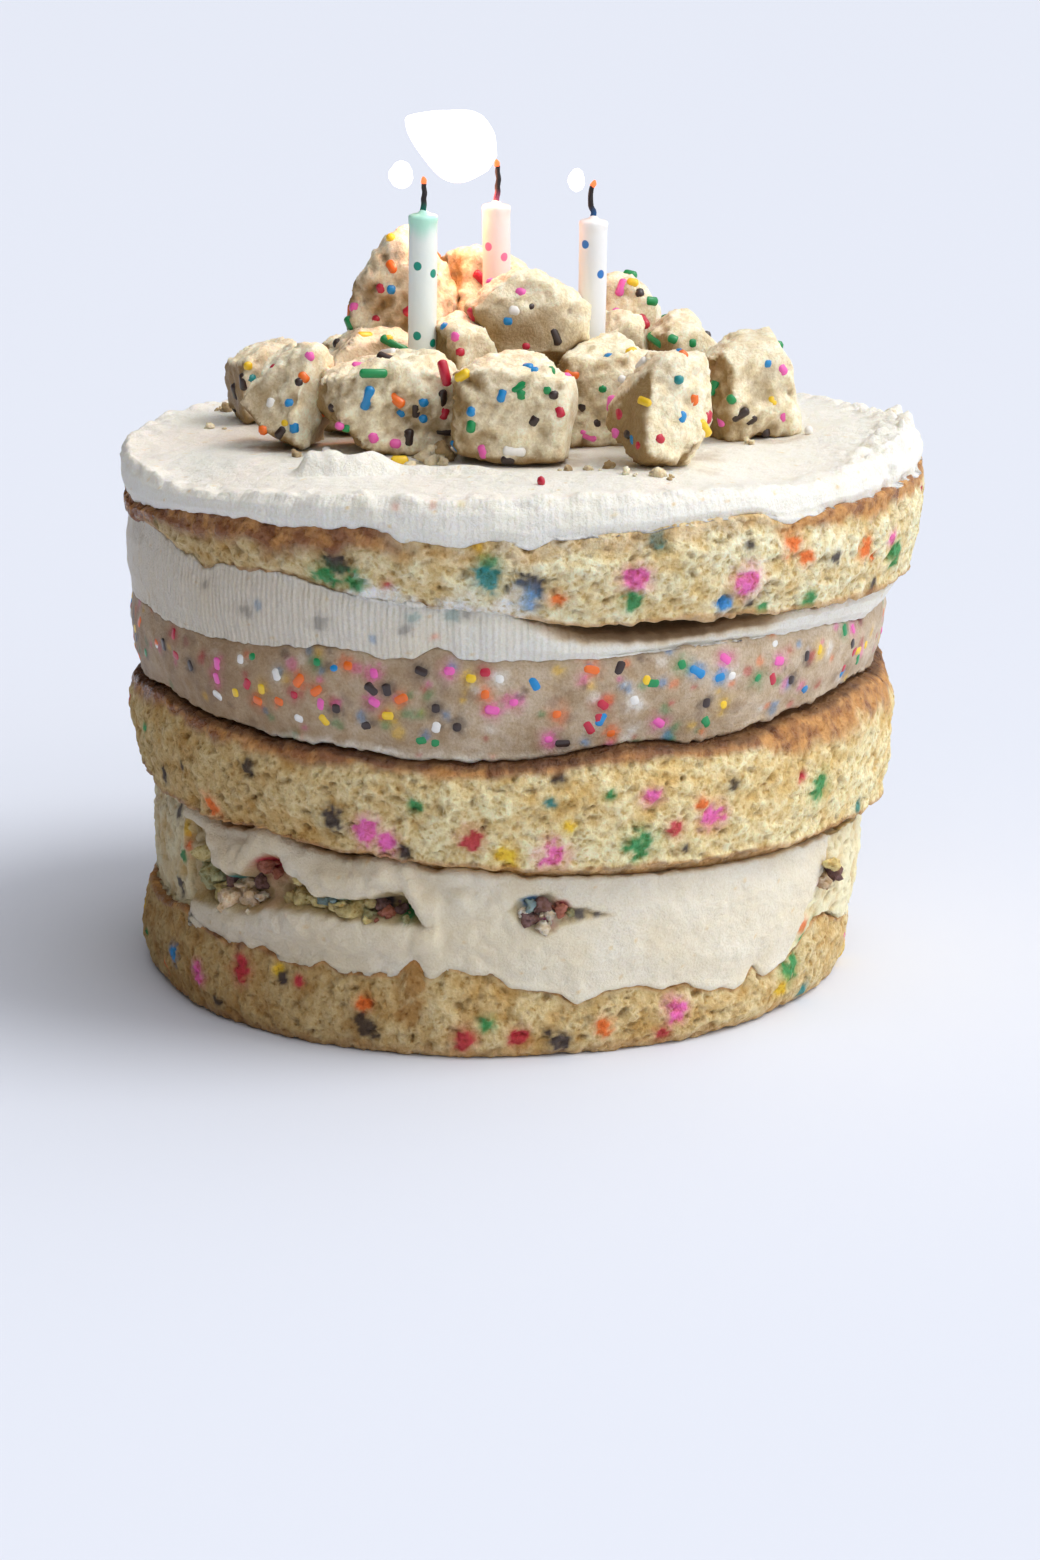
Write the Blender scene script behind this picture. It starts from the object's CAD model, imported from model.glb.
"""The looks of the birthday cake with candles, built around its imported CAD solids.

Every layer's surface is read off its CAD solid and given its crumb, smears and torn edges. The dough
chunks are the CAD lumps made rough, and sprinkles and crumbs are scattered over them. Sizes are in
millimetres. An azimuth is in degrees round the cake, 0 at the front (-Y) and 90 at the right (+X).
"""

import itertools
import math

import bpy
import numpy as np
from mathutils import Matrix, Vector
from mathutils.bvhtree import BVHTree


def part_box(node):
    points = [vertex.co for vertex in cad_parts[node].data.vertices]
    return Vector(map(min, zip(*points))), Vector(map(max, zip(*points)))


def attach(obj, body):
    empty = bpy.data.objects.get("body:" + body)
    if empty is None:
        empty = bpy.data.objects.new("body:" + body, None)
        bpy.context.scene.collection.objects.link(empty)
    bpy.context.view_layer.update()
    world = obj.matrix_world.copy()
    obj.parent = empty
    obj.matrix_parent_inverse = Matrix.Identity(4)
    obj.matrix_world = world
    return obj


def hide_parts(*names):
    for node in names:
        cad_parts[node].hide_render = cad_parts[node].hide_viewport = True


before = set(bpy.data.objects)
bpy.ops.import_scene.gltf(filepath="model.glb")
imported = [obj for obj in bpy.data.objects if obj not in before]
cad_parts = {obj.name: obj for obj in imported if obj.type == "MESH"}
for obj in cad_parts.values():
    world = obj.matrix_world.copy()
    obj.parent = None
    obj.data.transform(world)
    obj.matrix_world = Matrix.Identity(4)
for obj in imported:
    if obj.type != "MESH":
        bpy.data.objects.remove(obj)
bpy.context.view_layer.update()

MM = 0.001
EYE = (5.1, -794.0, 255.7)  # where the camera stands
EYE_DOWN = 15.5  # degrees that it looks down
SIDE = 78.0  # about how far the layers' sides are from the middle
FRONT = 78.0  # degrees each side of the front where stains are placed by hand

# Colours in linear RGB.
CRUMB = np.array((0.95, 0.87, 0.59))
CRUMB_GOLD = np.array((0.74, 0.50, 0.17))
PORE = np.array((0.34, 0.22, 0.08))
CRUST = np.array((0.27, 0.09, 0.025))
CRUST_GOLD = np.array((0.62, 0.30, 0.09))
CREAM = np.array((0.93, 0.90, 0.82))
CREAM_WARM = np.array((0.87, 0.78, 0.60))
DOUGH = np.array((0.46, 0.34, 0.22))
DOUGH_PALE = np.array((0.68, 0.56, 0.42))
CHUNK = np.array((0.35, 0.225, 0.088))
CHUNK_PALE = np.array((1.0, 0.91, 0.70))
SPRINKLES = {
    "orange": (0.90, 0.17, 0.015),
    "pink": (0.88, 0.13, 0.48),
    "yellow": (0.92, 0.60, 0.02),
    "red": (0.55, 0.012, 0.045),
    "white": (0.88, 0.86, 0.82),
    "green": (0.005, 0.28, 0.08),
    "blue": (0.005, 0.25, 0.60),
    "teal": (0.01, 0.25, 0.26),
    "brown": (0.035, 0.017, 0.014),
    "black": (0.025, 0.015, 0.028),
    "caramel": (0.42, 0.22, 0.06),
}
SCATTERED = ("orange", "pink", "yellow", "red", "white", "green", "blue", "brown")


# ---- Noise and small maths


def hashed(cells, seed):
    """A number from 0 to 1 for each row of three whole numbers."""
    turned = (cells * np.array((73856093, 19349663, 83492791))).sum(-1) + seed * 7919
    turned = (turned & 0xFFFFFFFF).astype(np.uint32)
    for shift, factor in ((16, 0x7FEB352D), (15, 0x846CA68B), (16, 1)):
        turned = (turned ^ (turned >> shift)) * np.uint32(factor)
    return turned / 2.0**32


# Round noise is read along turned axes, so that its lattice doesn't line up with the layers.
TURNED = np.array(Matrix.Rotation(0.9, 3, "X") @ Matrix.Rotation(0.7, 3, "Y"))


def noise(points, size, seed=0):
    """Smooth noise from -1 to 1, with lumps of that size, which may differ along X, Y and Z."""
    points = points @ TURNED if np.ndim(size) == 0 else points
    scaled = points / np.asarray(size, float)
    low = np.floor(scaled).astype(np.int64)
    part = scaled - low
    part = part * part * (3 - 2 * part)
    total = 0
    for corner in itertools.product((0, 1), repeat=3):
        weight = np.prod(np.where(corner, part, 1 - part), axis=-1)
        total = total + weight * hashed(low + np.array(corner), seed)
    return total * 2 - 1


def layered(points, size, octaves, seed=0):
    """Noise with finer noise on it, each octave half the size and half as strong."""
    total = sum(noise(points, np.asarray(size) / 2**k, seed + k) / 2**k for k in range(octaves))
    return total / (2 - 2.0 ** (1 - octaves))


def pores(points, size, seed=0):
    """For each point, how far the nearest of points scattered a size apart is, as a share of the
    size, and a number from 0 to 1 that belongs to that nearest one."""
    scaled = points / size
    low = np.floor(scaled).astype(np.int64)
    nearest = np.full(len(points), 9.0)
    name = np.zeros(len(points))
    for step in itertools.product((-1, 0, 1), repeat=3):
        cell = low + np.array(step)
        spot = cell + np.stack([hashed(cell, seed + k) for k in (1, 2, 3)], axis=-1)
        away = np.linalg.norm(scaled - spot, axis=-1)
        closer = away < nearest
        nearest = np.where(closer, away, nearest)
        name = np.where(closer, hashed(cell, seed + 4), name)
    return nearest, name


def smoothstep(low, high, value):
    share = np.clip((value - low) / (high - low), 0, 1)
    return share * share * (3 - 2 * share)


def mixed(first, second, share):
    """Between two colours, or arrays of colours, by a share for each point."""
    share = np.asarray(share)[..., None]
    return np.asarray(first) * (1 - share) + np.asarray(second) * share


def angle_between(azimuth, middle):
    """Degrees from the middle to an azimuth, from -180 to 180."""
    return (azimuth - middle + 180) % 360 - 180


def arc(azimuth, start, end, soft=5.0):
    """1 between two azimuths and 0 away from them, with soft ends."""
    middle, half = (start + end) / 2, (end - start) / 2
    return smoothstep(half + soft / 2, half - soft / 2, np.abs(angle_between(azimuth, middle)))


def browned(azimuth, strength=1.0):
    """A tint for each point: the cake's left side is browner, where more of its crust was left on."""
    share = arc(azimuth, -95, -20, 50) * strength
    return mixed((1.0, 1.0, 1.0), (0.70, 0.60, 0.48), share)


def lumps_at(azimuth, lumps):
    """The sum of (azimuth, half-width, height) lumps."""
    total = np.zeros_like(azimuth)
    for middle, width, height in lumps:
        total += height * np.exp(-((angle_between(azimuth, middle) / width) ** 2))
    return total


def around(azimuth):
    """How far along the cake's side an azimuth is, in millimetres."""
    return np.radians(azimuth) * SIDE


def picked(rng):
    """The colour of one more scattered sprinkle."""
    return SCATTERED[rng.integers(len(SCATTERED))]


def polar(azimuth, radius, height):
    """Points at an azimuth, radius and height, as an array with X, Y and Z in its last axis."""
    turn = np.radians(azimuth)
    return np.stack(np.broadcast_arrays(radius * np.sin(turn), -radius * np.cos(turn), height), axis=-1)


# ---- Materials


class Nodes:
    """A material's node tree, with a short way to add a node and link it."""

    def __init__(self, name, roughness, **fixed):
        self.material = bpy.data.materials.new(name)
        self.material.use_nodes = True
        self.tree = self.material.node_tree
        self.shader = self.tree.nodes["Principled BSDF"]
        self.shader.inputs["Roughness"].default_value = roughness
        for socket, value in fixed.items():
            self.shader.inputs[socket.replace("_", " ")].default_value = value

    def add(self, kind, inputs=(), **settings):
        node = self.tree.nodes.new("ShaderNode" + kind)
        for key, value in settings.items():
            setattr(node, key, value)
        for key, value in dict(inputs).items():
            if isinstance(value, bpy.types.NodeSocket):
                self.tree.links.new(value, node.inputs[key])
            else:
                node.inputs[key].default_value = value
        return node

    def link(self, socket, name):
        self.tree.links.new(socket, self.shader.inputs[name])

    def texture(self, kind, where, size, **inputs):
        """A noise or Voronoi texture with lumps of a size in millimetres."""
        node = self.add("Tex" + kind, {"Vector": where, "Scale": 1 / (size * MM)})
        for key, value in inputs.items():
            node.inputs[key].default_value = value
        return node.outputs[0]

    def maths(self, operation, *values):
        return self.add("Math", dict(enumerate(values)), operation=operation).outputs[0]

    def ranged(self, value, low, high, to_low, to_high):
        names = ("Value", "From Min", "From Max", "To Min", "To Max")
        sockets = zip(names, (value, low, high, to_low, to_high))
        return self.add("MapRange", sockets).outputs[0]

    def own(self, name, output):
        """One of the surface's own attributes, as add_piece gave them."""
        return self.add("Attribute", attribute_name=name).outputs[output]

    def relief(self, *heights):
        """Bumps the surface by (height socket, depth in millimetres) pairs, coarse to fine."""
        normal = None
        for height, depth in heights:
            inputs = {"Height": height, "Distance": depth * MM}
            if normal is not None:
                inputs["Normal"] = normal
            normal = self.add("Bump", inputs).outputs[0]
        self.link(normal, "Normal")

    def painted(self, *shades):
        """Colours the surface by its own tint, multiplied by shades of grey or colours."""
        colour = self.own("tint", "Color")
        for shade in shades:
            both = {6: colour, 7: shade, "Factor": 1.0}
            colour = self.add("Mix", both, data_type="RGBA", blend_type="MULTIPLY").outputs[2]
        self.link(colour, "Base Color")

    def between(self, first, second, factor):
        """A colour between two, by a socket."""
        sockets = {6: (*first, 1.0), 7: (*second, 1.0), "Factor": factor}
        return self.add("Mix", sockets, data_type="RGBA").outputs[2]

    def shaded(self, dark, light, value, low, high):
        """A colour that runs from dark to light as a value rises from low to high."""
        return self.between(dark, light, self.ranged(value, low, high, 0.0, 1.0))

    def glossy(self, dull, shiny):
        """Roughness that falls from dull to shiny as the surface's own gloss rises."""
        self.link(self.ranged(self.own("gloss", "Fac"), 0.0, 1.0, dull, shiny), "Roughness")

    def place(self):
        return self.add("TexCoord").outputs["Object"]

    def unrolled(self):
        """Where a point lies on its layer's unrolled side, in metres: along, up, and out."""
        return self.own("unrolled", "Vector")


def soft(weight, depth, radius):
    """Settings for light that goes into a soft material, to a depth in millimetres."""
    return {"Subsurface_Weight": weight, "Subsurface_Scale": depth * MM, "Subsurface_Radius": radius}


def sponge_material():
    """An open, fibrous crumb: pale webs round small golden pits."""
    made = Nodes("crumb", 0.85, **soft(0.2, 1.2, (0.9, 0.5, 0.2)))
    where = made.place()
    bend = {"Vector": where, "Scale": 1 / (1.6 * MM), "Detail": 3.0}
    bent = made.add("TexNoise", bend).outputs["Color"]
    bent = made.add("VectorMath", {0: bent, "Scale": 2.4 * MM}, operation="SCALE").outputs[0]
    bent = made.add("VectorMath", {0: bent, 1: where}, operation="ADD").outputs[0]
    cells = made.texture("Voronoi", bent, 1.5)
    torn = made.texture("Noise", where, 1.9, Detail=5.0, Roughness=0.72)
    fine = made.texture("Noise", where, 0.55, Detail=4.0, Roughness=0.75)
    web = made.shaded((0.74, 0.62, 0.40), (1.07, 1.08, 1.10), cells, 0.08, 0.42)
    broad = made.shaded((0.84, 0.75, 0.57), (1.08, 1.11, 1.18), torn, 0.36, 0.60)
    speck = made.shaded((0.96, 0.94, 0.90), (1.05, 1.06, 1.07), fine, 0.34, 0.66)
    made.painted(web, broad, speck)
    made.glossy(0.85, 0.16)
    made.relief((torn, 0.95), (cells, 0.36), (fine, 0.20))
    return made.material


def cream_material():
    """Buttercream: soft and fine-grained, with upright ridges from its liner where gloss is set."""
    made = Nodes("buttercream", 0.5, **soft(0.35, 1.8, (1.0, 0.8, 0.5)))
    stretch = {0: made.unrolled(), 1: (1.0, 0.08, 0.5)}
    stretched = made.add("VectorMath", stretch, operation="MULTIPLY").outputs[0]
    waves = {"Vector": stretched, "Scale": 0.31 / (1.25 * MM), "Distortion": 3.2, "Detail": 3.0}
    combs = made.add("TexWave", waves).outputs["Fac"]
    combed = made.maths("MULTIPLY", combs, made.own("gloss", "Fac"))
    grain = made.texture("Noise", made.place(), 0.42, Detail=4.0, Roughness=0.7)
    blobs = made.texture("Noise", made.place(), 2.6, Detail=3.0)
    made.painted(made.shaded((0.95, 0.93, 0.88), (1.04, 1.05, 1.06), grain, 0.35, 0.6))
    made.glossy(0.55, 0.35)
    made.relief((blobs, 0.75), (combed, 0.22), (grain, 0.34))
    return made.material


def dough_material():
    """Cookie dough, cut or broken: close-grained and a little greasy."""
    made = Nodes("cookie_dough", 0.5, **soft(0.3, 1.8, (1.0, 0.6, 0.3)))
    where = made.place()
    grain = made.texture("Noise", where, 0.55, Detail=5.0, Roughness=0.7)
    blobs = made.texture("Noise", where, 2.2, Detail=3.0)
    warm = made.shaded((0.90, 0.84, 0.74), (1.06, 1.07, 1.08), blobs, 0.35, 0.62)
    fine = made.shaded((0.90, 0.87, 0.82), (1.06, 1.07, 1.08), grain, 0.35, 0.62)
    made.painted(warm, fine)
    made.glossy(0.62, 0.38)
    made.relief((blobs, 0.40), (grain, 0.26))
    return made.material


def sprinkle_material():
    """Hard sugar with a thin glaze."""
    made = Nodes("sugar_sprinkle", 0.34, Coat_Weight=0.25, Coat_Roughness=0.25)
    grain = made.texture("Noise", made.place(), 0.6, Detail=2.0)
    made.painted(made.between((0.88, 0.88, 0.88), (1.08, 1.08, 1.08), grain))
    made.relief((grain, 0.04))
    return made.material


# ---- Meshes


def add_object(name, data):
    """A new object in the scene, from a mesh, a light or a camera."""
    made = bpy.data.objects.new(name, data)
    bpy.context.scene.collection.objects.link(made)
    return made


def add_piece(name, points, faces, material, tint=None, unrolled=None, gloss=None):
    """Links a mesh given in millimetres, with its colours and other values as attributes."""
    mesh = bpy.data.meshes.new(name)
    mesh.from_pydata((np.asarray(points) * MM).tolist(), [], faces)

    def give(attribute, kind, field, values):
        made = mesh.attributes.new(attribute, kind, "POINT")
        made.data.foreach_set(field, np.asarray(values, np.float32).ravel())

    count = len(points)
    if tint is not None:
        colours = np.ones((count, 4))
        colours[:, :3] = np.clip(tint, 0.0, 1.0)
        give("tint", "FLOAT_COLOR", "color", colours)
    if unrolled is not None:
        give("unrolled", "FLOAT_VECTOR", "vector", np.asarray(unrolled) * MM)
    give("gloss", "FLOAT", "value", np.zeros(count) if gloss is None else gloss)
    mesh.polygons.foreach_set("use_smooth", np.ones(len(mesh.polygons), bool))
    mesh.materials.append(material)
    mesh.update()
    piece = add_object(name, mesh)
    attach(piece, "root")
    return piece


def ring_faces(rings, count):
    """Quads between closed rings of that many points, and a fan from a last point over each end."""
    low = (np.arange(rings - 1)[:, None] * count + np.arange(count)).ravel()
    side = (np.arange(rings - 1)[:, None] * count + (np.arange(count) + 1) % count).ravel()
    faces = np.stack((low, side, side + count, low + count), axis=-1).tolist()
    first, last = rings * count, rings * count + 1
    top = (rings - 1) * count
    for i in range(count):
        j = (i + 1) % count
        faces.append((first, j, i))
        faces.append((last, top + i, top + j))
    return faces


def add_merged(name, shapes, material):
    """One mesh of many shapes, each (points, faces, colours)."""
    faces, count = [], 0
    for points, quads, _ in shapes:
        faces += [tuple(i + count for i in quad) for quad in quads]
        count += len(points)
    points, tint = (np.concatenate([shape[k] for shape in shapes]) for k in (0, 2))
    return add_piece(name, points, faces, material, tint)


def points_of(name):
    """A CAD node's points, in millimetres."""
    return np.array([vert.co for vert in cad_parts[name].data.vertices]) / MM


def tree_of(*meshes):
    """A tree of the meshes' faces, in millimetres."""
    points, faces = [], []
    for mesh in meshes:
        found = np.empty(len(mesh.vertices) * 3, np.float32)
        mesh.vertices.foreach_get("co", found)
        start = len(points)
        faces += [[start + i for i in polygon.vertices] for polygon in mesh.polygons]
        points += (found.reshape(-1, 3) / MM).tolist()
    return BVHTree.FromPolygons(points, faces)


def hit(tree, start, direction, otherwise):
    """Distance along a ray to a tree, or another value where it misses."""
    distance = tree.ray_cast(Vector(start), Vector(direction))[3]
    return otherwise if distance is None else distance


def on_side(tree, azimuth, height):
    """Where a ray from outside meets a layer's side, the normal there, and the way outwards."""
    outwards = Vector(polar(azimuth, 1.0, 0.0))
    place, normal, _, _ = tree.ray_cast(outwards * OUTSIDE + Vector((0, 0, height)), -outwards)
    return place, normal, outwards


# ---- The layers' surfaces, read off the CAD solids


READ_STEP = 2.0  # degrees between the readings of a CAD solid
INSETS = (2.4, 5.0, 9.0, 17.0)  # how far in from its rim a solid's top and bottom are read
SHARES = (0.08, 0.3, 0.5, 0.7, 0.92)  # where up its side its radius is read
INSIDE = 66.0  # a radius within every layer
OUTSIDE = 100.0  # and one clear of them all
FRONT_HALF = 105.0  # degrees each side of the front with the finer mesh
FINE, COARSE = 440, 240  # points round the front half and round the rest

front = np.linspace(-FRONT_HALF, FRONT_HALF, FINE, endpoint=False)
rear = np.linspace(FRONT_HALF, 360 - FRONT_HALF, COARSE, endpoint=False)
azimuths = np.concatenate((front, rear))
AROUND = FINE + COARSE
rim_line = polar(azimuths, SIDE, 0.0)
round_back = 1 - arc(azimuths, -85, 85, 20)


class Solid:
    """A layer's CAD solid, read at steps round it: its side's radii, and its bottom and top faces."""

    def __init__(self, name):
        tree = tree_of(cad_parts[name].data)
        low, high = (corner.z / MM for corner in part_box(name))
        self.azimuths = np.arange(0, 360, READ_STEP)
        readings = [self.read(tree, azimuth, low - 1, high + 1) for azimuth in self.azimuths]
        self.radii, self.bottoms, self.tops = (np.array(column) for column in zip(*readings))

    def read(self, tree, azimuth, under, over):
        outwards = Vector(polar(azimuth, 1.0, 0.0))

        def radius_at(height):
            return OUTSIDE - hit(tree, outwards * OUTSIDE + Vector((0, 0, height)), -outwards, 25)

        def bottom_at(radius):
            return under + hit(tree, outwards * radius + Vector((0, 0, under)), (0, 0, 1), 1)

        def top_at(radius):
            return over - hit(tree, outwards * radius + Vector((0, 0, over)), (0, 0, -1), 1)

        rim = radius_at((bottom_at(INSIDE) + top_at(INSIDE)) / 2)
        bottoms = [bottom_at(rim - inset) for inset in INSETS]
        tops = [top_at(rim - inset) for inset in INSETS]
        radii = [radius_at(bottoms[0] + (tops[0] - bottoms[0]) * share) for share in SHARES]
        return radii, bottoms, tops

    def at(self, values, azimuth):
        return np.interp(np.asarray(azimuth) % 360, self.azimuths, values, period=360)

    def low(self, azimuth):
        return self.at(self.bottoms[:, 0], azimuth)

    def high(self, azimuth):
        return self.at(self.tops[:, 0], azimuth)

    def face(self, readings, inset):
        """Heights of the bottom or top face all round, an inset in from its rim."""
        columns = np.stack([self.at(readings[:, k], azimuths) for k in range(len(INSETS))])
        place = float(np.interp(inset, INSETS, np.arange(len(INSETS))))
        low = min(int(place), len(INSETS) - 2)
        return columns[low] * (low + 1 - place) + columns[low + 1] * (place - low)

    def side(self, share, azimuth=None):
        """The side's radius at a share of the layer's height."""
        azimuth = azimuths if azimuth is None else azimuth
        columns = np.stack([self.at(self.radii[:, k], azimuth) for k in range(len(SHARES))])
        place = np.interp(np.broadcast_to(share, azimuth.shape), SHARES, np.arange(len(SHARES)))
        low = np.clip(np.floor(place).astype(int), 0, len(SHARES) - 2)
        column = np.arange(len(azimuth))
        part = place - low
        return columns[low, column] * (1 - part) + columns[low + 1, column] * part


LAYERS = (
    "sponge_bottom", "filling_lower", "sponge_middle", "dough_layer", "filling_upper", "sponge_top",
    "topping",
)
solids = {name: Solid(name) for name in LAYERS}


def seam(seed, size, depth, *lumps):
    """How far the line between two layers wanders up or down, all round."""
    wander = depth * layered(rim_line, size, 4, seed) + 0.35 * layered(rim_line, 1.8, 2, seed + 7)
    return lumps_at(azimuths, lumps) + wander


# Each layer's upper seam: the two layers that meet there follow the same line.
SEAMS = {
    "sponge_bottom": seam(
        21, 5.0, 0.6,
        (-40, 3, 1.3), (-27, 2, 1.6), (-12, 1.4, 3.0), (-9.5, 1.5, -1.2), (2.5, 1.6, -1.3),
        (5, 2, -0.8), (13, 2, -1.4), (27, 3, -1.4), (35, 3.5, -2.2), (40, 2, -1.4), (44, 1.5, 2.6),
    ),
    "filling_lower": seam(22, 4.0, 0.5, (-60, 5, 0.8), (-38, 3, 0.5)),
    "sponge_middle": seam(23, 4.0, 0.4),
    "dough_layer": seam(24, 5.0, 0.4, (-16, 1.8, -1.0), (-7.5, 2.4, 2.3)),
    "filling_upper": seam(25, 4.0, 0.6, (7, 3, -0.5)),
    "sponge_top": seam(
        26, 4.0, 0.6, (0, 1.6, 1.4), (5, 1.9, -1.4), (-12, 1.2, -0.8), (42, 3, -1.3), (37, 2, 0.7)
    ),
    "topping": np.zeros(AROUND),
}
UNDER = dict(zip(LAYERS[1:], LAYERS[:-1]))
FACE_INSETS = (17.0, 9.0, 5.0, 3.2, 2.0, 1.1, 0.5)


class Skin:
    """One layer's surface as rings of points: out along its bottom, up its side, in across its top."""

    def __init__(
        self, name, rows, below=0.0, above=0.0, foot=0.5, shoulder=0.5, top_insets=FACE_INSETS
    ):
        """below and above are how far the side runs past the layer's seams, and foot and shoulder how
        far its edges are rounded: each one value, or one for each azimuth."""
        solid = solids[name]
        self.name = name
        self.low = solid.low(azimuths) + (SEAMS[UNDER[name]] if name in UNDER else 0) - below
        self.high = solid.high(azimuths) + SEAMS[name] + above
        foot, shoulder = (np.broadcast_to(size, self.low.shape) for size in (foot, shoulder))
        rings, shares, insets = [], [], []

        def add_face(at, share, readings, edge, rounded):
            """Rings of the layer's bottom or top face, which meet the edge's own height at the rim."""
            for inset in at:
                fade = smoothstep(4.0, 0.5, inset)
                height = solid.face(readings, inset) * (1 - fade) + edge * fade
                rings.append(polar(azimuths, solid.side(share) - rounded - inset, height))
                shares.append(share)
                insets.append(inset)

        add_face(FACE_INSETS, 0.0, solid.bottoms, self.low, foot)
        for row in range(rows + 1):
            share = row / rows
            height = self.low + (self.high - self.low) * share
            near_foot = np.clip(1 - (height - self.low) / (foot * 1.5 + 0.01), 0, 1)
            near_shoulder = np.clip(1 - (self.high - height) / (shoulder * 1.5 + 0.01), 0, 1)
            inwards = foot * (1 - np.sqrt(1 - near_foot**2))
            inwards = inwards + shoulder * (1 - np.sqrt(1 - near_shoulder**2))
            rings.append(polar(azimuths, solid.side(share) - inwards, height))
            shares.append(share)
            insets.append(0.0)
        add_face(top_insets[::-1], 1.0, solid.tops, self.high, shoulder)
        self.points = np.array(rings)
        self.side = slice(len(FACE_INSETS), len(FACE_INSETS) + rows + 1)
        self.share = np.repeat(shares, AROUND)
        self.inset = np.repeat(insets, AROUND)
        self.azimuth = np.tile(azimuths, len(rings))
        self.from_low = self.points[..., 2].ravel() - np.tile(self.low, len(rings))
        self.from_high = np.tile(self.high, len(rings)) - self.points[..., 2].ravel()

    def flat(self):
        return self.points.reshape(-1, 3)

    def grid(self, values):
        """Values for each point, given in one row, as a grid of rings."""
        return np.asarray(values).reshape(self.points.shape[:2] + np.asarray(values).shape[1:])

    def lift(self, amount):
        """Moves each point along the surface's normal, or straight outwards near the edges."""
        ahead = np.roll(self.points, -1, axis=1) - np.roll(self.points, 1, axis=1)
        up = np.gradient(self.points, axis=0)
        normal = np.cross(ahead, up)
        normal /= np.linalg.norm(normal, axis=-1, keepdims=True) + 1e-9
        self.points = self.points + normal * self.grid(amount)[..., None]
        self.points[..., 2] = np.maximum(self.points[..., 2], 0.0)

    def build(self, material, tint, gloss=None):
        rings = len(self.points)
        radius = np.linalg.norm(self.points[..., :2], axis=-1)
        unrolled = np.stack((around(self.grid(self.azimuth)), self.points[..., 2], radius), axis=-1)
        ends = [self.points[0].mean(axis=0), self.points[-1].mean(axis=0)]
        gloss = np.zeros(len(tint)) if gloss is None else gloss
        piece = add_piece(
            self.name + "_look",
            np.concatenate((self.flat(), ends)),
            ring_faces(rings, AROUND),
            material,
            np.concatenate((tint, tint[:1], tint[-1:])),
            np.concatenate((unrolled.reshape(-1, 3), ends)),
            np.concatenate((gloss, gloss[:1], gloss[-1:])),
        )
        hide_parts(self.name)
        return piece


def drape(skin, reach=1.2, proud=0.2):
    """Lays the part of a smear that runs past its own layer over its neighbour's side."""
    for name in LAYERS:
        if name == skin.name:
            continue
        solid = solids[name]
        low, high = solid.low(azimuths), solid.high(azimuths)
        for ring in range(skin.side.start, skin.side.stop):
            height = skin.points[ring, :, 2]
            share = (height - low) / (high - low)
            inside = (share > 0) & (share < 1)
            radius = np.linalg.norm(skin.points[ring, :, :2], axis=-1)
            missing = solid.side(np.clip(share, 0, 1)) + proud - radius
            push = np.where(inside & (missing > 0), np.minimum(missing, reach), 0)
            skin.points[ring] += polar(azimuths, push, 0.0)


# ---- Sponge


def crumb(points, seed=0):
    """An open crumb: how far each point stands out, and its colour."""
    bent = points + 1.1 * np.stack([noise(points, 2.0, seed + k) for k in (9, 10, 11)], axis=-1)
    big, big_name = pores(bent * (1, 1, 1.35), 3.4, seed)
    small, small_name = pores(bent, 1.7, seed + 20)
    pit = smoothstep(0.40, 0.12, big) * (big_name > 0.5)
    hole = smoothstep(0.46, 0.18, small) * (small_name > 0.38)
    lump = layered(points, 3.4, 2, seed + 40)
    fine = noise(points, 1.2, seed + 41)
    raised = 0.55 * lump + 0.32 * fine - 0.9 * pit - 0.45 * hole
    patch = layered(points, 7.0, 3, seed + 42)
    colour = mixed(CRUMB, CRUMB_GOLD, np.clip(0.22 - 0.6 * lump - 0.3 * fine - 0.8 * patch, 0, 0.85))
    colour = mixed(colour, PORE, np.clip(0.55 * pit + 0.26 * hole, 0, 0.7))
    return raised, colour


def stained(points, azimuth, height, colour, stains, strength=0.92):
    """Adds the stains that sprinkles left, as (azimuth, height, half-width, colour)."""
    ragged = noise(points, 1.6, 71) * 0.40 + noise(points, 0.9, 72) * 0.45
    speckled = 0.9 + 0.5 * noise(points, 1.1, 73)
    for middle, level, size, name in stains:
        across = around(angle_between(azimuth, middle))
        away = np.hypot(across, height - level) / size
        near = np.flatnonzero(away < 2.6)
        wash = smoothstep(2.4, 0.8, away[near] + 0.9 * ragged[near]) * 0.36
        core = smoothstep(1.25, 0.65, away[near] + 1.1 * ragged[near])
        core = core * np.clip(speckled[near], 0.3, 1)
        colour[near] = mixed(colour[near], SPRINKLES[name], np.clip(wash + core, 0, 1) * strength)
    return colour


BACK_STAINS = 60


def random_stains(seed, low, high):
    """Stains round the rest of the cake, away from the front, which has its own."""
    rng = np.random.default_rng(seed)
    stains = []
    while len(stains) < BACK_STAINS:
        azimuth, height = rng.uniform(-180, 180), rng.uniform(low + 2, high - 2)
        size, name = rng.uniform(0.7, 2.2), picked(rng)
        if abs(azimuth) > FRONT:
            stains.append((azimuth, height, size, name))
    return tuple(stains)


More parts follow.
